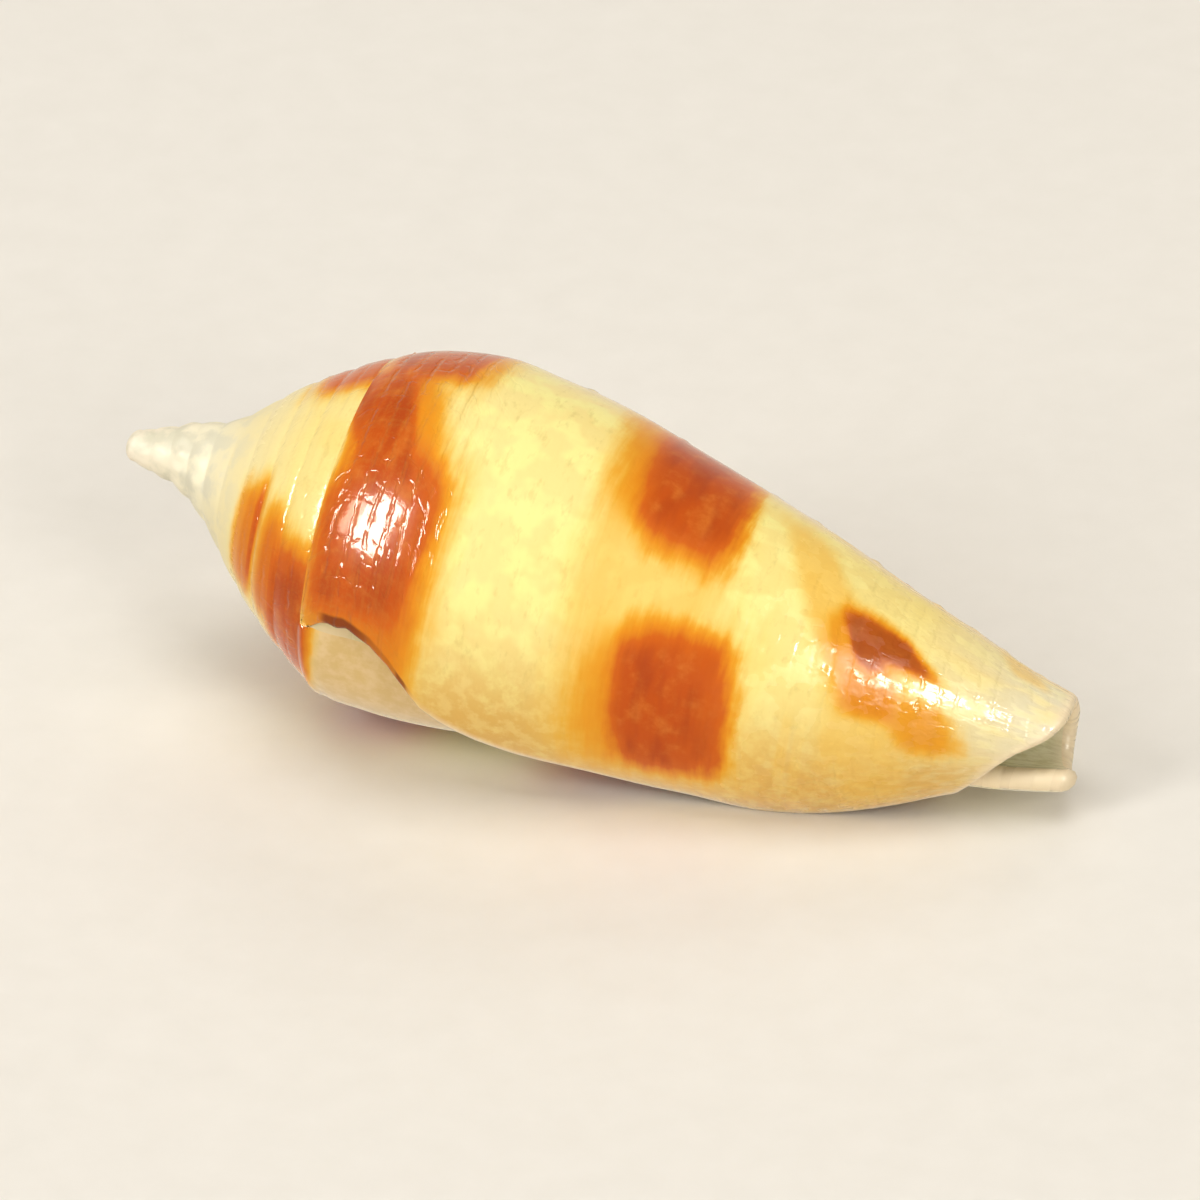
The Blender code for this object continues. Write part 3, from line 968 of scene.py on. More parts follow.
    def outside_spots(self) -> Spots:
        """Work out where the points of the body whorl's outside lie.

        Returns:
            The places, all in one grid.
        """
        growth = self.growth
        column = np.arange(self.columns + 1)[:, None]
        u = column / self.columns
        base = growth.lip_angle + TURN * (u - 1.0)
        top = growth.suture(growth.whorls - 1.0 + u)
        line = growth.suture(growth.whorls + u)
        row = np.arange(self.last_row + 1)[None, :]
        share = self.shares[np.maximum(row - self.spire_last, 0)]
        spire_share = np.array(self.spire_rows)[np.minimum(row, self.spire_last)]
        weight = ease((u - self.stretch_from) / (1.0 - self.stretch_from))
        near = np.clip(1.0 - column / self.canal_columns, 0.0, 1.0)
        widens = (share - self.canal_from) / (self.canal_full - self.canal_from)
        opening = self.canal_opening * near * ease(widens)
        phi = base + 0.0 * share
        half_edge = 0.5 * growth.wall
        starts = np.clip(share / self.edge_from, 0, 1)
        for _ in range(self.lip_passes):
            end = growth.front.at(phi) - half_edge
            on_spire = top + spire_share * (line - top)
            x = np.where(row <= self.spire_last, on_spire, line + share * (end - line))
            lip = growth.lip_line.straight(x - top)
            back = weight * np.degrees(half_edge / growth.radius(phi, x)) * starts
            phi = base + opening + weight * (lip - growth.lip_angle) - back
        lines = self.growth_line(phi, x - top)
        return Spots(*np.broadcast_arrays(phi, x, top, line, base, lines))

    def build_outside(self, strip: Patch, spots: Spots) -> Patch:
        """Add the body whorl's outside.

        Args:
            strip: the spire's strip.
            spots: where the points lie.

        Returns:
            The patch, with its points.
        """
        phi, x, top, line, base, lines = spots
        growth, sculpture = self.growth, self.sculpture
        marks = self.marks(phi, x, lines, top, (x - top) / (line - top))
        radius = growth.radius(phi, x) + sculpture.body(growth, base, x, top, line)
        radius = radius + sculpture.cords(marks[..., -1], lines, growth.whorl(base), x)
        points = growth.place(phi, x, radius + sculpture.lumps(phi, x, radius))
        index = np.full(x.shape, -1)
        index[0, : self.spire_last + 1] = strip.index[-1]
        index[:, 0] = strip.index[len(strip.index) - 1 - self.columns :, -1]
        index[0, 0] = strip.index[-1, 0]
        new = index < 0
        index[new] = self.book.add(points[new])
        patch = Patch(index, marks, points)
        self.book.quilt(patch, Side.GLAZE)
        return patch

    def slit(self, phi: Array, x: Array) -> tuple[Array, Array]:
        """Radii of the slit behind the lip.

        Args:
            phi: growth angle.
            x: distance along the axis.

        Returns:
            Radius of the roof, under the lip's wall, and of the floor, on the whorl before.
        """
        growth = self.growth
        line, following = (growth.suture(growth.whorl(phi) + turns) for turns in (0.0, 1.0))
        outer = growth.radius(phi, x) + self.sculpture.body(growth, phi, x, line, following)
        return growth.slit(phi, x, outer)

    def build_floor(self, outside: Patch, even: Array) -> Patch:
        """Add the slit's floor, from its blind end to the start of the body whorl.

        Args:
            outside: patch of the outside.
            even: every other row, which the inside has.

        Returns:
            The patch, whose last column is the start of the outside.
        """
        growth = self.growth
        first = self.spire_last + self.rim_steps
        rows = even[(even >= first) & (even <= self.core_row)]
        n = np.arange(self.deep)[:, None]
        phi = growth.lip_angle - growth.slit_depth * (1.0 - n / self.deep)
        seat = growth.seat(phi)
        front_now = growth.front.at(phi) - 0.5 * growth.wall
        front_lip = growth.front.at(growth.lip_angle - TURN) - 0.5 * growth.wall
        end = front_now * (1.0 - n / self.deep) + front_lip * n / self.deep
        share = self.shares[rows - self.spire_last] - growth.seat_share
        x = seat + (share / (1.0 - growth.seat_share))[None, :] * (end - seat)
        phi = phi + 0.0 * x
        marks = self.marks(phi, x, phi, growth.suture(growth.whorl(phi)), 0.0 * x)
        index = self.book.add(growth.place(phi, x, self.slit(phi, x)[1]))
        floor = Patch(index, marks)
        self.book.quilt(floor, Side.LINING)
        floor = floor.beside(Patch(outside.index[:1, rows], marks[-1:]))
        fine = outside[:1, first : self.core_row + 1]
        fine.marks = np.repeat(marks[-1:], 2, axis=1)[:, : fine.index.shape[1]]
        self.book.hem(fine, floor[-2:-1, :], Side.LINING)
        return floor

    def build_inside(self, spots: Spots, floor: Patch, even: Array) -> Patch:
        """Add the slit's roof and the inner wall of the canal.

        Args:
            spots: where the outside's points lie.
            floor: patch of the slit's floor.
            even: rows of the outside that the inside has.

        Returns:
            The patch, with its points.
        """
        growth = self.growth
        phi, x, top, _, base, _ = (values[:, even] for values in spots)
        end = growth.front.at(phi) - 0.5 * growth.wall
        seat = growth.seat(base)
        slit_x = seat + (end - seat) * (x - top) / (end - top)
        column = np.arange(self.columns + 1)[:, None]
        thicker = ease((x - growth.front_wall_from) / growth.front_wall_over)
        thicker = thicker * ease((self.columns - self.deep - column) / growth.front_wall_columns)
        wall = growth.radius(phi, x) - (growth.wall + growth.front_wall * thicker)
        in_slit = column >= self.columns - self.deep
        points = np.where(
            in_slit[..., None], growth.place(phi, slit_x, self.slit(phi, slit_x)[0]),
            growth.place(phi, x, wall))
        index = np.full(phi.shape, -1)
        index[self.columns - self.deep :, 0] = floor.index[:, 0]
        new = (index < 0) & (in_slit | (even[None, :] >= self.core_row))
        index[new] = self.book.add(points[new])
        return Patch(index, self.marks(phi, x, phi, top, 0.0 * phi), points)

    def round_edge(
        self, outer: Patch, behind: Array, inner: Patch, mark: int,
        first: Array | None = None, last: Array | None = None,
    ) -> Patch:
        """Add a rounded edge from a line of the outside to a line of the inside.

        Args:
            outer: one column of the outside.
            behind: points of the column next to it, away from which the edge bulges.
            inner: one column of the inside, with as many rows or every other one.
            mark: which mark falls below 0 round the edge.
            first, last: numbers of the points that the edge shares in its first and last rows.

        Returns:
            The patch of the edge, steps by rows.
        """
        rows = np.arange(outer.index.shape[1])
        skip = 1 if len(rows) == inner.index.shape[1] else 2
        near = outer.points[0]
        far = np.stack([np.interp(rows, rows[::skip], line) for line in inner.points[0].T], -1)
        ahead = (near - behind) / np.linalg.norm(near - behind, axis=-1, keepdims=True)
        half = 0.5 * (near - far)
        bulge = ahead * np.linalg.norm(half, axis=-1, keepdims=True)
        angle = np.pi * np.arange(1, self.rim_steps)[:, None, None] / self.rim_steps
        arc = 0.5 * (near + far) + half * np.cos(angle) + bulge * np.sin(angle)
        between = np.zeros(arc.shape[:2], int)
        new = slice(None if first is None else 1, None if last is None else -1)
        between[:, new] = self.book.add(arc[:, new])
        for row, shared in ((0, first), (-1, last)):
            if shared is not None:
                between[:, row] = shared
        ending = np.zeros((1, len(rows)), int)
        ending[:, ::skip] = inner.index
        index = np.concatenate([outer.index, between, ending])
        marks = np.repeat(outer.marks, len(index), axis=0)
        marks[..., mark] = -np.linspace(0.0, 1.0, len(index))[:, None] * self.growth.wall
        edge = Patch(index, marks)
        self.book.quilt(edge if skip == 1 else edge[:-1, :], Side.GLAZE)
        if skip == 2:
            self.book.hem(edge[-2:-1, :], Patch(inner.index, marks[-1:, ::2]), Side.GLAZE)
        return edge

    def build_body(self, strip: Patch) -> None:
        """Add the body whorl: outside, slit, lip edge, canal and the core's end.

        Args:
            strip: the spire's strip.
        """
        spots = self.outside_spots()
        outside = self.build_outside(strip, spots)
        even = np.arange(0, self.last_row + 1, 2)
        floor = self.build_floor(outside, even)
        inside = self.build_inside(spots, floor, even)
        wall, low = self.columns - self.deep, self.core_row
        core = int(np.searchsorted(even, low))
        self.book.quilt(inside[wall:, :], Side.LINING)
        self.book.quilt(inside[: wall + 1, core:], Side.LINING)

        root = outside.index[0, self.spire_last + 1 : self.spire_last + self.rim_steps]
        lip = self.round_edge(outside[-1:, :], outside.points[-2], inside[-1:, :], TO_LIP, root)
        free = self.round_edge(
            outside[:1, low:], outside.points[1, low:], inside[:1, core:], TO_LIP)
        self.round_edge(
            outside[:, -1:].turned(), outside.points[:, -2], inside[:, -1:].turned(), TO_FRONT,
            free.index[1:-1, -1], lip.index[1:-1, -1])

        folds = core + 1 - floor.index.shape[1]
        blind_end = floor[:1, np.maximum(np.arange(core + 1) - folds, 0)]
        self.book.quilt(inside[wall : wall + 1, : core + 1].beside(blind_end), Side.LINING)
        loop = np.concatenate([
            floor.index[::-1, -1], inside.index[wall::-1, core], free.index[-2:0:-1, 0]])
        marks = np.broadcast_to(inside.marks[0, core], (1, len(loop), MARKS))
        self.book.fan(np.array([self.core_tip, 0.0, 0.0]), Patch(loop[None, :], marks), Side.LINING)


class Step(NamedTuple):
    """Smooth step between two limits, which are numbers or wires, and what it gives at each."""

    low: object
    high: object
    start: float = 0.0
    end: float = 1.0


class Grain(NamedTuple):
    """Noise over the surface, which is read in millimetres.

    Attributes:
        scale: how fine it is.
        detail, roughness: number of its finer layers, and their strength.
        stretch: how much finer it is across and along the axis, if that differs.
    """

    scale: float = 1.0
    detail: float = 2.0
    roughness: float = 0.5
    stretch: tuple[float, float] | None = None


class Wire:
    """Output of a node, which can be reckoned with like a number."""

    def __init__(self, desk: "Desk", socket: bpy.types.NodeSocket) -> None:
        """Keep the output, and the desk on which its node lies."""
        self.desk, self.socket = desk, socket

    def __add__(self, other: object) -> "Wire":
        """Sum with a wire or a number."""
        return self.desk.math("ADD", self, other)

    def __sub__(self, other: object) -> "Wire":
        """What is left when a wire or a number is taken away."""
        return self.desk.math("SUBTRACT", self, other)

    def __rsub__(self, other: float) -> "Wire":
        """What is left of a number when this is taken away."""
        return self.desk.math("SUBTRACT", other, self)

    def __mul__(self, other: object) -> "Wire":
        """Product with a wire or a number."""
        return self.desk.math("MULTIPLY", self, other)

    def __truediv__(self, other: object) -> "Wire":
        """Quotient by a wire or a number."""
        return self.desk.math("DIVIDE", self, other)

    def fit(self, step: Step) -> "Wire":
        """Take a smooth step."""
        values = dict(enumerate((self, *step)))
        return self.desk.wire("ShaderNodeMapRange", values, interpolation_type="SMOOTHSTEP")


class Desk:
    """Lays out the nodes of one material, one group or the world."""

    def __init__(self, tree: bpy.types.NodeTree) -> None:
        """Start on an empty tree."""
        self.tree = tree
        tree.nodes.clear()

    def feed(self, socket: bpy.types.NodeSocket, value: object) -> None:
        """Link an input to a wire, or set its value.

        Args:
            socket: input to feed.
            value: wire, number, vector or colour to feed it.
        """
        if isinstance(value, Wire):
            self.tree.links.new(value.socket, socket)
        elif socket.type == "RGBA":
            socket.default_value = (*value, 1.0)
        else:
            socket.default_value = value

    def add(self, kind: str, values: dict[int | str, object], **settings: object) -> bpy.types.Node:
        """Add a node.

        Args:
            kind: Blender's name of the node.
            values: what its inputs get, by number or name.
            **settings: what to set on it.

        Returns:
            The node.
        """
        node = self.tree.nodes.new(kind)
        for key, value in settings.items():
            setattr(node, key, value)
        for key, value in values.items():
            self.feed(node.inputs[key], value)
        return node

    def wire(
        self, kind: str, values: dict[int | str, object], output: int | str = 0, **settings: object,
    ) -> Wire:
        """Add a node and take one of its outputs."""
        return Wire(self, self.add(kind, values, **settings).outputs[output])

    def math(self, operation: str, *values: object, clamp: bool = False) -> Wire:
        """Combine wires and numbers by one of Blender's operations."""
        values = dict(enumerate(values))
        return self.wire("ShaderNodeMath", values, operation=operation, use_clamp=clamp)

    def blend(self, share: object, below: object, above: object) -> Wire:
        """Mix two colours, with a share of the upper one."""
        return self.wire("ShaderNodeMix", {0: share, 6: below, 7: above}, 2, data_type="RGBA")

    def noise(self, vector: Wire, scale: float, detail: float, roughness: float) -> Wire:
        """Noise from 0 to 1, by how fine it is, its finer layers and their strength."""
        values = {"Vector": vector, "Scale": scale, "Detail": detail, "Roughness": roughness}
        return self.wire("ShaderNodeTexNoise", values, "Fac")

    def grain(self, across: Wire, along: Wire, grain: Grain) -> Wire:
        """Noise over the surface.

        Args:
            across: distance round the axis.
            along: distance along it.
            grain: what the noise is like.

        Returns:
            The noise, 0 to 1.
        """
        if grain.stretch:
            across, along = across * grain.stretch[0], along * grain.stretch[1]
        place = self.wire("ShaderNodeCombineXYZ", {0: across, 1: along})
        return self.noise(place, *grain[:3])

    def read(self, name: str, output: str = "Vector") -> Wire:
        """One of the mesh's attributes."""
        return self.wire("ShaderNodeAttribute", {}, output, attribute_name=name)

    def split(self, name: str) -> tuple[Wire, ...]:
        """The three numbers of one of the mesh's attributes."""
        node = self.add("ShaderNodeSeparateXYZ", {0: self.read(name)})
        return tuple(Wire(self, socket) for socket in node.outputs)

    def ramp(self, share: Wire, stops: tuple[tuple[float, Colour], ...]) -> Wire:
        """Colour along a ramp.

        Args:
            share: place on the ramp, 0 to 1.
            stops: places and colours.

        Returns:
            The colour.
        """
        node = self.add("ShaderNodeValToRGB", {0: share})
        band = node.color_ramp
        while len(band.elements) < len(stops):
            band.elements.new(0.5)
        for element, (place, colour) in zip(band.elements, stops):
            element.position = place
            element.color = (*colour, 1.0)
        return Wire(self, node.outputs[0])

    def surface(
        self, height: Wire | None = None, depth: float = 0.0, strength: float = 1.0,
        **values: object,
    ) -> None:
        """Add the shader and the output.

        Args:
            height: height of the relief, if there is any.
            depth: depth of the relief.
            strength: strength of the relief.
            **values: what the shader's inputs get, by their names with underscores for blanks.
        """
        inputs = {key.replace("_", " "): value for key, value in values.items()}
        if height:
            bump = {"Height": height, "Distance": depth * MM, "Strength": strength}
            inputs["Normal"] = self.wire("ShaderNodeBump", bump)
        shader = self.wire("ShaderNodeBsdfPrincipled", inputs)
        self.add("ShaderNodeOutputMaterial", {"Surface": shader})


def start_material(name: str) -> tuple[bpy.types.Material, Desk]:
    """Start a material.

    Args:
        name: name of the material.

    Returns:
        The material, and the desk for its nodes.
    """
    material = bpy.data.materials.new(name)
    material.use_nodes = True
    return material, Desk(material.node_tree)


class Effect:
    """Shader node group that is built once and placed with its own values, all of them numbers."""

    name = ""
    inputs: tuple[str, ...] = ()
    outputs: tuple[str, ...] = ()

    def group(self) -> bpy.types.NodeTree:
        """Find the group, or build it.

        Returns:
            The group.
        """
        found = bpy.data.node_groups.get(self.name)
        if found:
            return found
        tree = bpy.data.node_groups.new(self.name, "ShaderNodeTree")
        for side, names in (("INPUT", self.inputs), ("OUTPUT", self.outputs)):
            for name in names:
                tree.interface.new_socket(name=name, in_out=side, socket_type="NodeSocketFloat")
        desk = Desk(tree)
        entry = desk.add("NodeGroupInput", {})
        results = self.layout(desk, *(Wire(desk, entry.outputs[name]) for name in self.inputs))
        desk.add("NodeGroupOutput", dict(zip(self.outputs, results)))
        return tree

    def layout(self, desk: Desk, *given: Wire) -> tuple[Wire, ...]:
        """Lay out the group's nodes, from its inputs to its outputs."""
        raise NotImplementedError

    def place(self, desk: Desk, *values: object) -> tuple[Wire, ...]:
        """Place the group in a material.

        Args:
            desk: the material's desk.
            *values: what each of the inputs gets.

        Returns:
            The outputs.
        """
        node = desk.add("ShaderNodeGroup", {}, node_tree=self.group())
        for name, value in zip(self.inputs, values):
            desk.feed(node.inputs[name], value)
        return tuple(Wire(desk, node.outputs[name]) for name in self.outputs)


class GrowthMarks(Effect):
    """Grooves between the flat spiral cords, granules, striae and growth lines.

    The height rises from the grooves to the cords' flat backs. The tint is strongest in the
    grooves, where it is painted shade; over the striae and growth lines it is the shell's own tone.
    """

    name = "Growth marks"
    inputs = ("Lines", "Along", "Cords", "Strength", "Lumps")
    outputs = ("Height", "Tint")
    degrees_to_mm = 0.078
    waver = Grain(2.6)
    cord_waver = 0.5
    bead_waver = 1.4
    groove = Step(0.03, 0.18)
    bead_gap = Step(0.01, 0.17)
    stagger = 7.3
    stagger_reach = 0.8
    beaded_grain = Grain(2.1, 1.0)
    beaded = Step(0.42, 0.62)
    worn_grain = Grain(1.7)
    worn = Step(0.36, 0.58, 0.1, 1.0)
    striae_grain = Grain(1.0, 3.0, 0.6, (0.35, 3.2))
    line_grain = Grain(1.0, 2.0, 0.55, (5.5, 0.5))
    fine_grain = Grain(11.0)
    lump_grain = Grain(1.0, 2.0, 0.55, (1.5, 2.3))
    gap_depth = 0.45
    heights = (0.06, 0.1, 0.05)
    # Painted shade: how much darker the grooves are made in the colour.
    groove_shade = 0.2
    tints = ((Step(0.45, 0.80), 0.5), (Step(0.50, 0.80), 0.35), (Step(0.45, 0.75), 0.4))

    def layout(self, desk: Desk, *given: Wire) -> tuple[Wire, ...]:
        """Lay out the grooves, striae and lines.

        Args:
            desk: where to lay the nodes.
            *given: the group's inputs.

        Returns:
            The height and the tint.
        """
        lines, along, cords, strength, lumps = given
        turned = lines * self.degrees_to_mm
        waver = desk.grain(turned, along, self.waver) - 0.5
        count = cords + waver * self.cord_waver
        off_groove = desk.math("PINGPONG", count, 0.5)
        bare = desk.grain(turned, along, self.worn_grain).fit(self.worn)
        back = 1.0 - (1.0 - off_groove.fit(self.groove)) * bare

        stagger = desk.math("SINE", desk.math("FLOOR", count) * self.stagger) * self.stagger_reach
        beads = lines / BEAD_ANGLE + waver * self.bead_waver
        granule = desk.math("PINGPONG", beads + stagger, 0.5).fit(self.bead_gap)
        gap = (1.0 - granule) * desk.grain(turned, along, self.beaded_grain).fit(self.beaded)
        height = back - gap * self.gap_depth
        # Painted shade: the grooves are darkened in the colour.
        tint = (1.0 - back) * self.groove_shade
        noises = (
            desk.grain(turned, cords, self.striae_grain),
            desk.grain(turned, along, self.line_grain),
            desk.grain(turned, along, self.fine_grain),
        )
        for noise, share, (step, tinted) in zip(noises, self.heights, self.tints):
            height = height + noise * share
            tint = tint + noise.fit(step) * tinted
        lumps = desk.grain(turned, along, self.lump_grain) * lumps
        return height * strength + lumps, desk.math("MULTIPLY", tint, strength, clamp=True)


class LipEdge(Effect):
    """Pale rim of the lip and of the front edge, and the dark line in the notch."""

    name = "Lip edge"
    inputs = ("From suture", "To lip", "To front", "Width")
    outputs = ("Rim", "Line")
    rim_from = 0.08
    lip_from = Step(2.6, 4.6)
    line_reach = Step(0.7, 1.6, 0.20, 0.34)
    line_soft = 0.1
    line_starts = Step(0.5, 0.8)
    line_ends = Step(1.5, 2.3, 1.0, 0.4)
    spot_at = 2.95
    spot = Step(0.08, 0.25, 0.9, 0.0)
    line_fades = Step(3.0, 3.4, 1.0, 0.0)

    def layout(self, desk: Desk, *given: Wire) -> tuple[Wire, ...]:
        """Lay out the rim and the line.

        Args:
            desk: where to lay the nodes.
            *given: the group's inputs.

        Returns:
            Masks of the rim and of the dark line.
        """
        from_suture, to_lip, to_front, width = given
        near_lip = to_lip.fit(Step(self.rim_from, width, 1.0, 0.0)) * from_suture.fit(self.lip_from)
        near_front = to_front.fit(Step(0.0, width, 1.0, 0.0))
        reach = from_suture.fit(self.line_reach)
        edge = to_lip.fit(Step(reach - self.line_soft, reach, 1.0, 0.0))
        off_spot = desk.math("ABSOLUTE", from_suture - self.spot_at)
        ends = desk.math("MAXIMUM", from_suture.fit(self.line_ends), off_spot.fit(self.spot))
        # Partly painted shadow: the dark line stands for the shadowed gap under the lip's edge, over
        # the brown of that edge.
        line = edge * (from_suture.fit(self.line_starts) * ends) * from_suture.fit(self.line_fades)
        return desk.math("MAXIMUM", near_lip, near_front), line


class Chart:
    """What the mesh's corners say, as wires of one material."""

    def __init__(self, desk: Desk) -> None:
        """Place the readers.

        Args:
            desk: the material's desk.
        """
        self.desk = desk
        growth, self.along, self.lines = desk.split("chart")
        self.edges = desk.split("edges")
        self.cords = desk.read("cords", "Fac")
        self.across = growth * GrowthMarks.degrees_to_mm

    def grain(self, grain: Grain) -> Wire:
        """Noise over the surface."""
        return self.desk.grain(self.across, self.along, grain)

    def marks(self, strength: object, lumps: object) -> tuple[Wire, ...]:
        """Height and tint of the growth marks."""
        return GrowthMarks().place(self.desk, self.lines, self.along, self.cords, strength, lumps)


class Layer(NamedTuple):
    """Colour that is laid over another in patches.

    Attributes:
        colour: the colour.
        share: its share at most.
        grain, patches: the noise that it follows, and where in the noise it shows.
        limits: steps of another value that hold it back.
    """

    colour: Colour
    share: float
    grain: Grain
    patches: Step
    limits: tuple[Step, ...]

    def over(self, chart: Chart, below: Wire, value: Wire) -> Wire:
        """Lay the colour.

        Args:
            chart: what the mesh says.
            below: colour below.
            value: value that the limits read.

        Returns:
            The colour with this one over it.
        """
        share = chart.grain(self.grain).fit(self.patches)
        for limit in self.limits:
            share = share * value.fit(limit)
        return chart.desk.blend(share * self.share, below, self.colour)


@dataclass(frozen=True)
class Glaze:
    """Glossy outside: cream, with bands of orange-brown blotches, a white tip and a grey front end.

    Attributes:
        length, ground: length of the axis, and colours along it. The steps below are steps of the
            distance along the axis where nothing else is said.
        worn, worn_grain, worn_patches, worn_tip: grey of the worn tip, its noise, where in the
            noise it shows, and how it ends.
        patches: layers over the ground.
        patchy, tan, tan_and_shade_patches, rose_shade, rose_shade_share: noise and
        colours of the ground near the lip and on the upper side. The tan is partly the shell's own
        tan and partly painted shade of the lip's side, which faces down; the rose is painted warm
        shade toward the upper edge.
        bare, chalk, chalk_patches: colours of the bare patch behind the lip.
        dense, density_from: colours of the pigment by its density, and the densities over which it
            comes to cover the ground.
        pigment_patches: layers over the pigment, held back by its density.
        umber, umber_*: brown of the front band, and where it shows, by place and density.
        fray, blur, blur_share, frays: noises that fray the cores and the halos, and how far.
        marks_*: strength of the growth marks; lumps: strength of the lumps.
        streak_and_groove_shade, tint_share: colour of the grooves, painted shade there, and of the
        striae, their own tone.
        rim, rim_width, rim_share, rim_dulls: pale rim, and how much duller it is.
        line: dark line in the notch, partly the brown of the lip's edge and partly painted shadow
        of the gap under it.
        gloss_grain, gloss, tip_dulls, dull_*: roughness, and its rise on the tip and in patches.
        relief: depth of the marks. coat, coat_roughness: soft glow over the sharp gloss.
    """

    length: float = 25.0
    ground: tuple[tuple[float, Colour], ...] = (
        (0.0, paint(242, 232, 212)), (2.2, paint(236, 230, 202)), (3.3, paint(242, 228, 176)),
        (5.0, paint(246, 226, 148)), (9.0, paint(250, 232, 154)), (17.5, paint(248, 228, 142)),
        (20.5, paint(246, 224, 142)), (22.4, paint(240, 224, 170)), (23.6, paint(232, 222, 186)),
        (24.8, paint(232, 222, 192)),
    )
    worn: Colour = paint(216, 212, 190)
    worn_grain: tuple[float, float, float] = (1500.0, 3.0, 0.55)
    worn_patches: Step = Step(0.42, 0.62)
    worn_tip: Step = Step(1.6, 4.2, 1.0, 0.0)
    patches: tuple[Layer, ...] = (
        Layer(paint(248, 214, 116), 0.4, Grain(0.55), Step(0.45, 0.75), (Step(3.0, 6.0),)),
        Layer(paint(255, 250, 164), 0.65, Grain(1.1), Step(0.42, 0.62),
              (Step(6.0, 9.0), Step(16.0, 20.0, 1.0, 0.3))),
        Layer(paint(206, 184, 104), 0.3, Grain(1.0, 3.0, 0.65, (1.6, 3.4)), Step(0.53, 0.72),
              (Step(3.5, 6.0), Step(18.5, 21.0, 1.0, 0.35))),
    )
    patchy: Grain = Grain(2.4, 3.0, 0.6)
    # Tan: partly the shell's own, partly painted shade of the lip's side. Rose: painted warm shade
    # toward the upper edge.
    tan: Colour = paint(226, 180, 92)
    tan_and_shade_patches: Step = Step(0.35, 0.6, 0.65, 1.0)
    rose_shade: Colour = paint(244, 214, 160)
    rose_shade_share: float = 0.75
    bare: Colour = paint(220, 188, 126)
    chalk: Colour = paint(236, 208, 158)
    chalk_patches: Step = Step(0.35, 0.7, 0.0, 0.7)
    dense: tuple[tuple[float, Colour], ...] = (
        (0.0, paint(252, 222, 112)), (0.28, paint(240, 180, 46)), (0.5, paint(230, 144, 18)),
        (0.74, paint(210, 98, 4)), (1.0, paint(196, 80, 0)),
    )
    density_from: Step = Step(0.0, 0.42)
    pigment_patches: tuple[Layer, ...] = (
        Layer(paint(218, 124, 40), 0.7, Grain(1.5, 4.0, 0.6), Step(0.45, 0.75), (Step(0.7, 1.0),)),
        Layer(paint(172, 62, 2), 0.7, Grain(1.0, 2.0, 0.5, (0.45, 1.7)), Step(0.42, 0.7),
              (Step(0.75, 1.0),)),
    )
    umber: Colour = paint(158, 78, 10)
    umber_along: Step = Step(17.2, 19.0)
    umber_dense: Step = Step(0.45, 0.9)
    umber_share: float = 0.6
    fray: Grain = Grain(1.0, 3.0, 0.6, (0.42, 3.0))
    blur: Grain = Grain(1.2, 3.0, 0.6)
    blur_share: float = 0.6
    frays: tuple[tuple[str, float], ...] = (("core", 0.3), ("halo", 0.4))
    marks_rear: Step = Step(8.0, 10.0, 0.9, 0.12)
    marks_fore: Step = Step(17.0, 19.5, 0.12, 0.26)
    marks_on_spire: Step = Step(3.0, 5.0, 0.05, 0.45)
    marks_on_body: Step = Step(5.6, 6.2, 1.0, 2.2)
    lumps: Step = Step(17.0, 19.0, 0.15, 1.3)
    streak_and_groove_shade: Colour = paint(196, 150, 60)
    tint_share: float = 0.3
    rim: Colour = paint(244, 224, 190)
    rim_width: float = 0.45
    rim_share: float = 0.8
    rim_dulls: float = 0.12
    line: Colour = paint(140, 62, 6)
    gloss_grain: Grain = Grain(2.2, 3.0)
    gloss: Step = Step(0.35, 0.75, 0.08, 0.15)
    tip_dulls: Step = Step(2.6, 4.6, 0.42, 0.0)
    dull_grain: Grain = Grain(1.1, 2.0, 0.6)
    dull_patches: Step = Step(0.44, 0.58)
    dull_from: Step = Step(16.0, 18.5)
    dull_share: float = 0.32
    relief: float = 0.026
    coat: Step = Step(2.4, 4.4, 0.0, 0.22)
    coat_roughness: float = 0.35

    def build(self) -> bpy.types.Material:
        """Build the material.

        Returns:
            The material.
        """
        material, desk = start_material("banded_glaze")
        chart = Chart(desk)
        along = chart.along
        washes = desk.split("wash")
        covered = 1.0 - washes[2]
        strength = desk.math("MAXIMUM", along.fit(self.marks_rear), along.fit(self.marks_fore))
        strength = strength * covered
        for step in (self.marks_on_spire, self.marks_on_body):
            strength = strength * along.fit(step)
        height, tint = chart.marks(strength, along.fit(self.lumps) * covered)
        rim, line = LipEdge().place(desk, *chart.edges, self.rim_width)
        colour = self.pigments(chart, self.base(chart, washes))
        # Painted shade in the grooves, with the striae's own tone.
        colour = desk.blend(tint * self.tint_share, colour, self.streak_and_groove_shade)
        colour = desk.blend(rim * self.rim_share, colour, self.rim)
        # Dark line in the notch: partly the brown of the lip's edge, partly painted shadow of the
        # gap under it.
        colour = desk.blend(line, colour, self.line)
        gloss = chart.grain(self.gloss_grain).fit(self.gloss) + rim * self.rim_dulls
        dull = chart.grain(self.dull_grain).fit(self.dull_patches) * along.fit(self.dull_from)
        desk.surface(
            height, self.relief, Base_Color=colour,
            Roughness=gloss + along.fit(self.tip_dulls) + dull * self.dull_share,
            Coat_Weight=along.fit(self.coat), Coat_Roughness=self.coat_roughness)
        return material

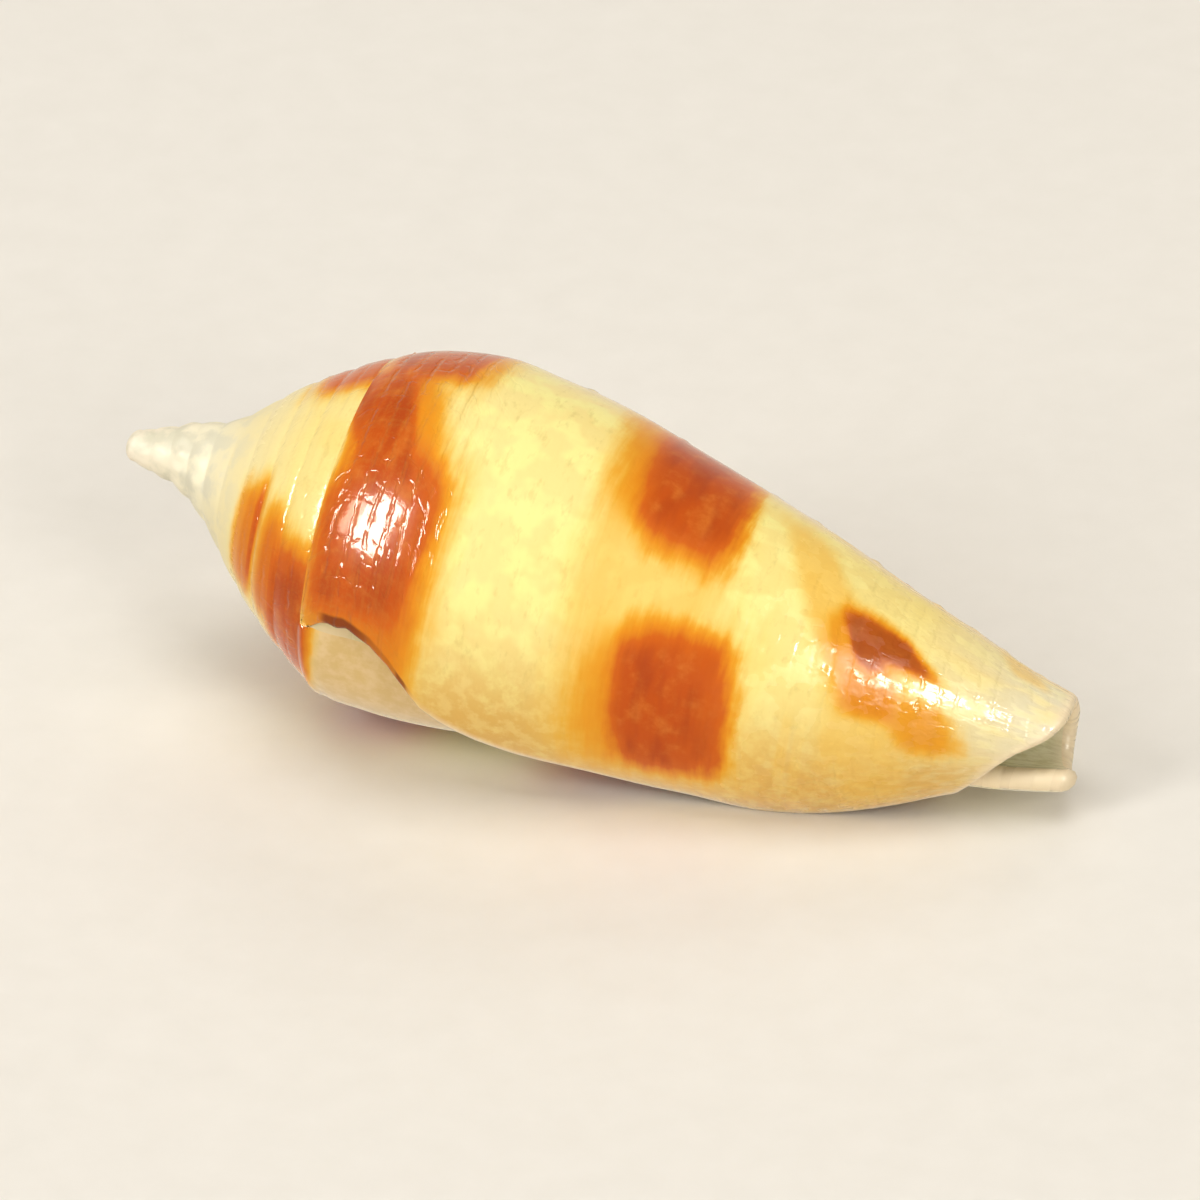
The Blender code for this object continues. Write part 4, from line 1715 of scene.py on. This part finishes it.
    def base(self, chart: Chart, washes: tuple[Wire, ...]) -> Wire:
        """Lay out the ground colour.

        Args:
            chart: what the mesh says.
            washes: shares of tan, rose and bare ground.

        Returns:
            The colour.
        """
        desk, along = chart.desk, chart.along
        stops = tuple((x / self.length, colour) for x, colour in self.ground)
        colour = desk.ramp(along / self.length, stops)
        solid = desk.wire("ShaderNodeTexCoord", {}, "Object")
        mottle = desk.noise(solid, *self.worn_grain).fit(self.worn_patches)
        colour = desk.blend(mottle * along.fit(self.worn_tip), colour, self.worn)
        for layer in self.patches:
            colour = layer.over(chart, colour, along)
        tan, rose_shade, bare = washes
        patchy = chart.grain(self.patchy)
        # Painted shade: patchy tan on the lip's side, partly the shell's own tan, and warm rose
        # toward the upper edge.
        colour = desk.blend(tan * patchy.fit(self.tan_and_shade_patches), colour, self.tan)
        colour = desk.blend(rose_shade * self.rose_shade_share, colour, self.rose_shade)
        chalky = desk.blend(patchy.fit(self.chalk_patches), self.bare, self.chalk)
        return desk.blend(bare, colour, chalky)

    def pigments(self, chart: Chart, ground: Wire) -> Wire:
        """Lay the pigments over the ground.

        Args:
            chart: what the mesh says.
            ground: colour of the ground.

        Returns:
            The colour.
        """
        desk = chart.desk
        jag = (chart.grain(self.fray) - 0.5) + (chart.grain(self.blur) - 0.5) * self.blur_share
        masks = []
        for name, amount in self.frays:
            inside, strength, softness = desk.split(name)
            share = (inside + jag * amount) / softness
            masks.append(share.fit(Step(-1.0, 1.0)) * strength)
        density = masks[0] * 0.5 + masks[1] * 0.5
        red = desk.ramp(density, self.dense)
        for layer in self.pigment_patches:
            red = layer.over(chart, red, density)
        browner = chart.along.fit(self.umber_along) * density.fit(self.umber_dense)
        red = desk.blend(browner * self.umber_share, red, self.umber)
        return desk.blend(density.fit(self.density_from), ground, red)


@dataclass(frozen=True)
class Lining:
    """Inside of the slit and the canal: smooth, greyish, faintly green toward the front.

    Attributes:
        deep, front, to_front: its colours, set paler than the lining's own tone as painted light
        for the light that the thin wall lets into the shaded canal, and where the first gives way to
        the second.
        shade, shade_patches, tint_share: darker colour, where in the noise it shows, and how much
            the growth marks take of it.
        patchy: the noise.
        rim, rim_width, rim_share: pale rim.
        marks, lumps: strength of the growth marks and of the lumps.
        relief, relief_strength, gloss, coat: depth and strength of the marks, and the gloss.
    """

    deep: Colour = paint(230, 208, 164)
    front: Colour = paint(250, 246, 214)
    to_front: Step = Step(19.0, 23.0)
    shade: Colour = paint(206, 198, 146)
    shade_patches: Step = Step(0.4, 0.7, 0.0, 0.6)
    tint_share: float = 0.3
    patchy: Grain = Grain(1.8, 3.0, 0.6)
    rim: Colour = paint(242, 226, 194)
    rim_width: float = 0.6
    rim_share: float = 0.6
    marks: float = 0.3
    lumps: float = 0.8
    relief: float = 0.02
    relief_strength: float = 0.8
    gloss: Step = Step(0.3, 0.7, 0.16, 0.28)
    coat: float = 0.3

    def build(self) -> bpy.types.Material:
        """Build the material.

        Returns:
            The material.
        """
        material, desk = start_material("canal_lining")
        chart = Chart(desk)
        height, tint = chart.marks(self.marks, self.lumps)
        rim, _ = LipEdge().place(desk, *chart.edges, self.rim_width)
        patchy = chart.grain(self.patchy)
        # Painted light: the lining's colours, the darker one too, are set paler than its own tone,
        # in place of light that the thin wall lets into the shaded canal.
        colour = desk.blend(chart.along.fit(self.to_front), self.deep, self.front)
        colour = desk.blend(patchy.fit(self.shade_patches), colour, self.shade)
        # Painted shade in the grooves, with the striae's own tone, in the darker colour.
        colour = desk.blend(tint * self.tint_share, colour, self.shade)
        colour = desk.blend(rim * self.rim_share, colour, self.rim)
        desk.surface(
            height, self.relief, self.relief_strength, Base_Color=colour,
            Roughness=patchy.fit(self.gloss), Coat_Weight=self.coat)
        return material


def direction(azimuth: float, elevation: float) -> Vector:
    """Unit vector from the shell: azimuth 0 is in front, along -Y, and 90 is along +X."""
    a, e = math.radians(azimuth), math.radians(elevation)
    return Vector((math.sin(a) * math.cos(e), -math.cos(a) * math.cos(e), math.sin(e)))


class Reach(Enum):
    """What a light reaches: only what it lights, or only what mirrors it."""

    LIT = (True, False)
    MIRRORED = (False, True)


@dataclass(frozen=True)
class SoftBox:
    """Soft light that faces the shell.

    Attributes:
        name: name of the light.
        azimuth, elevation: its direction from the shell.
        distance: its distance.
        width, height: its size.
        radiance: how bright its face is.
        tint: its colour.
        reach: whether it lights surfaces or shows in glossy ones.
    """

    name: str
    azimuth: float
    elevation: float
    distance: float
    width: float
    height: float
    radiance: float
    tint: Colour = (1.0, 0.97, 0.92)
    reach: Reach = Reach.LIT

    def build(self, aim: tuple[float, float, float]) -> None:
        """Add the light.

        Args:
            aim: point that it faces.
        """
        light = bpy.data.lights.new(self.name, "AREA")
        light.shape = "RECTANGLE"
        light.size = self.width * MM
        light.size_y = self.height * MM
        light.energy = self.radiance * math.pi * light.size * light.size_y
        light.color = self.tint
        box = bpy.data.objects.new(self.name, light)
        back = direction(self.azimuth, self.elevation)
        box.location = (Vector(aim) + back * self.distance) * MM
        box.rotation_euler = back.to_track_quat("Z", "Y").to_euler()
        box.visible_camera = False
        box.visible_diffuse, box.visible_glossy = self.reach.value
        bpy.context.scene.collection.objects.link(box)


@dataclass
class Studio:
    """Plain pale floor, soft light, and the camera at the photograph's angle.

    Attributes:
        azimuth, elevation, roll: the camera's direction from the shell, and how far its right side
            dips.
        aim: point that the middle of the picture shows.
        picture_width: width of what the picture shows there.
        lens, sensor, clip: focal length, width of the sensor, and nearest and farthest view in
            metres.
        floor_side: side of the floor. card, card_gloss, fibres: its colours, roughness and noise.
        room_tint, room_light, far_light, far_from: colour of the room's light, its strength, its
            strength straight behind the shell, and from where it rises to that.
        boxes: the lights.
    """

    azimuth: float = 20.84
    elevation: float = 31.68
    roll: float = 1.94
    aim: tuple[float, float, float] = (-0.08, 0.0, 3.81)
    picture_width: float = 29.35
    lens: float = 400.0
    sensor: float = 36.0
    clip: tuple[float, float] = (0.01, 10.0)
    floor_side: float = 700.0
    card: tuple[Colour, Colour] = (paint(226, 224, 219), paint(233, 231, 227))
    card_gloss: Step = Step(0.3, 0.7, 0.6, 0.75)
    fibres: tuple[float, float, float] = (900.0, 4.0, 0.6)
    room_tint: Colour = (1.0, 0.90, 0.76)
    room_light: float = 0.25
    far_light: float = 0.78
    far_from: float = 0.3
    boxes: tuple[SoftBox, ...] = (
        SoftBox("left_box", -38.5, 33.2, 500.0, 150.0, 280.0, 6.9),
        SoftBox("right_box", 47.0, 31.3, 500.0, 110.0, 180.0, 8.8),
        SoftBox("low_box", 12.0, 5.0, 600.0, 400.0, 90.0, 1.9, (1.0, 0.95, 0.88)),
        SoftBox("top_box", 5.0, 84.0, 600.0, 500.0, 400.0, 3.2, (1.0, 0.96, 0.89)),
        SoftBox("back_box", 190.0, 42.0, 600.0, 300.0, 200.0, 2.6, (1.0, 0.96, 0.90)),
        SoftBox(
            "left_glint", -39.5, 34.0, 500.0, 150.0, 280.0, 30.0, (1.0, 0.95, 0.83),
            Reach.MIRRORED),
        SoftBox(
            "far_left_glint", -56.0, 30.0, 500.0, 60.0, 180.0, 12.0, (1.0, 0.88, 0.66),
            Reach.MIRRORED),
        SoftBox(
            "right_glint", 52.0, 31.3, 500.0, 118.0, 170.0, 30.0, (1.0, 0.96, 0.86),
            Reach.MIRRORED),
    )

    def build(self) -> None:
        """Build the floor, the lights and the camera."""
        self.build_floor()
        self.build_camera()
        for box in self.boxes:
            box.build(self.aim)
        world = bpy.data.worlds.new("pale_room")
        bpy.context.scene.world = world
        world.use_nodes = True
        desk = Desk(world.node_tree)
        looks = desk.wire("ShaderNodeTexCoord", {}, "Generated")
        pair = {0: looks, 1: -direction(self.azimuth, self.elevation)}
        away = desk.wire("ShaderNodeVectorMath", pair, "Value", operation="DOT_PRODUCT")
        strength = away.fit(Step(self.far_from, 1.0, self.room_light, self.far_light))
        light = desk.wire("ShaderNodeBackground", {"Color": self.room_tint, "Strength": strength})
        desk.add("ShaderNodeOutputWorld", {"Surface": light})
        bpy.context.scene.view_settings.view_transform = "Standard"

    def build_floor(self) -> None:
        """Add the pale floor."""
        half = 0.5 * self.floor_side * MM
        data = bpy.data.meshes.new("floor")
        data.from_pydata([(-half, -half, 0), (half, -half, 0), (half, half, 0), (-half, half, 0)],
                         [], [(0, 1, 2, 3)])
        floor = bpy.data.objects.new("floor", data)
        bpy.context.scene.collection.objects.link(floor)
        material, desk = start_material("pale_card")
        place = desk.wire("ShaderNodeTexCoord", {}, "Object")
        fibre = desk.noise(place, *self.fibres)
        desk.surface(Base_Color=desk.blend(fibre, *self.card), Roughness=fibre.fit(self.card_gloss))
        data.materials.append(material)
        floor.visible_glossy = False

    def build_camera(self) -> None:
        """Add the camera."""
        data = bpy.data.cameras.new("camera")
        data.lens = self.lens
        data.sensor_width = self.sensor
        data.clip_start, data.clip_end = self.clip
        camera = bpy.data.objects.new("camera", data)
        back = direction(self.azimuth, self.elevation)
        level = Vector((0.0, 0.0, 1.0)).cross(back).normalized()
        up = back.cross(level)
        dip = math.radians(self.roll)
        right = level * math.cos(dip) - up * math.sin(dip)
        up = back.cross(right)
        turn = Matrix((right, up, back)).transposed()
        camera.matrix_world = turn.to_4x4()
        distance = self.picture_width * self.lens / self.sensor
        camera.location = (Vector(self.aim) + back * distance) * MM
        bpy.context.scene.collection.objects.link(camera)
        bpy.context.scene.camera = camera


def main() -> None:
    """Build the shell, dress it, and set up the studio."""
    logging.basicConfig(level=logging.INFO, format="%(name)s: %(message)s")
    shell = Shell().build()
    for finish in (Glaze(), Lining()):
        shell.data.materials.append(finish.build())
    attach(shell, "root")
    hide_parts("shell")
    LOG.info("shell: %d points", len(shell.data.vertices))
    Studio().build()
    LOG.info("studio: floor, lights and camera")


if __name__ == "__main__":
    main()
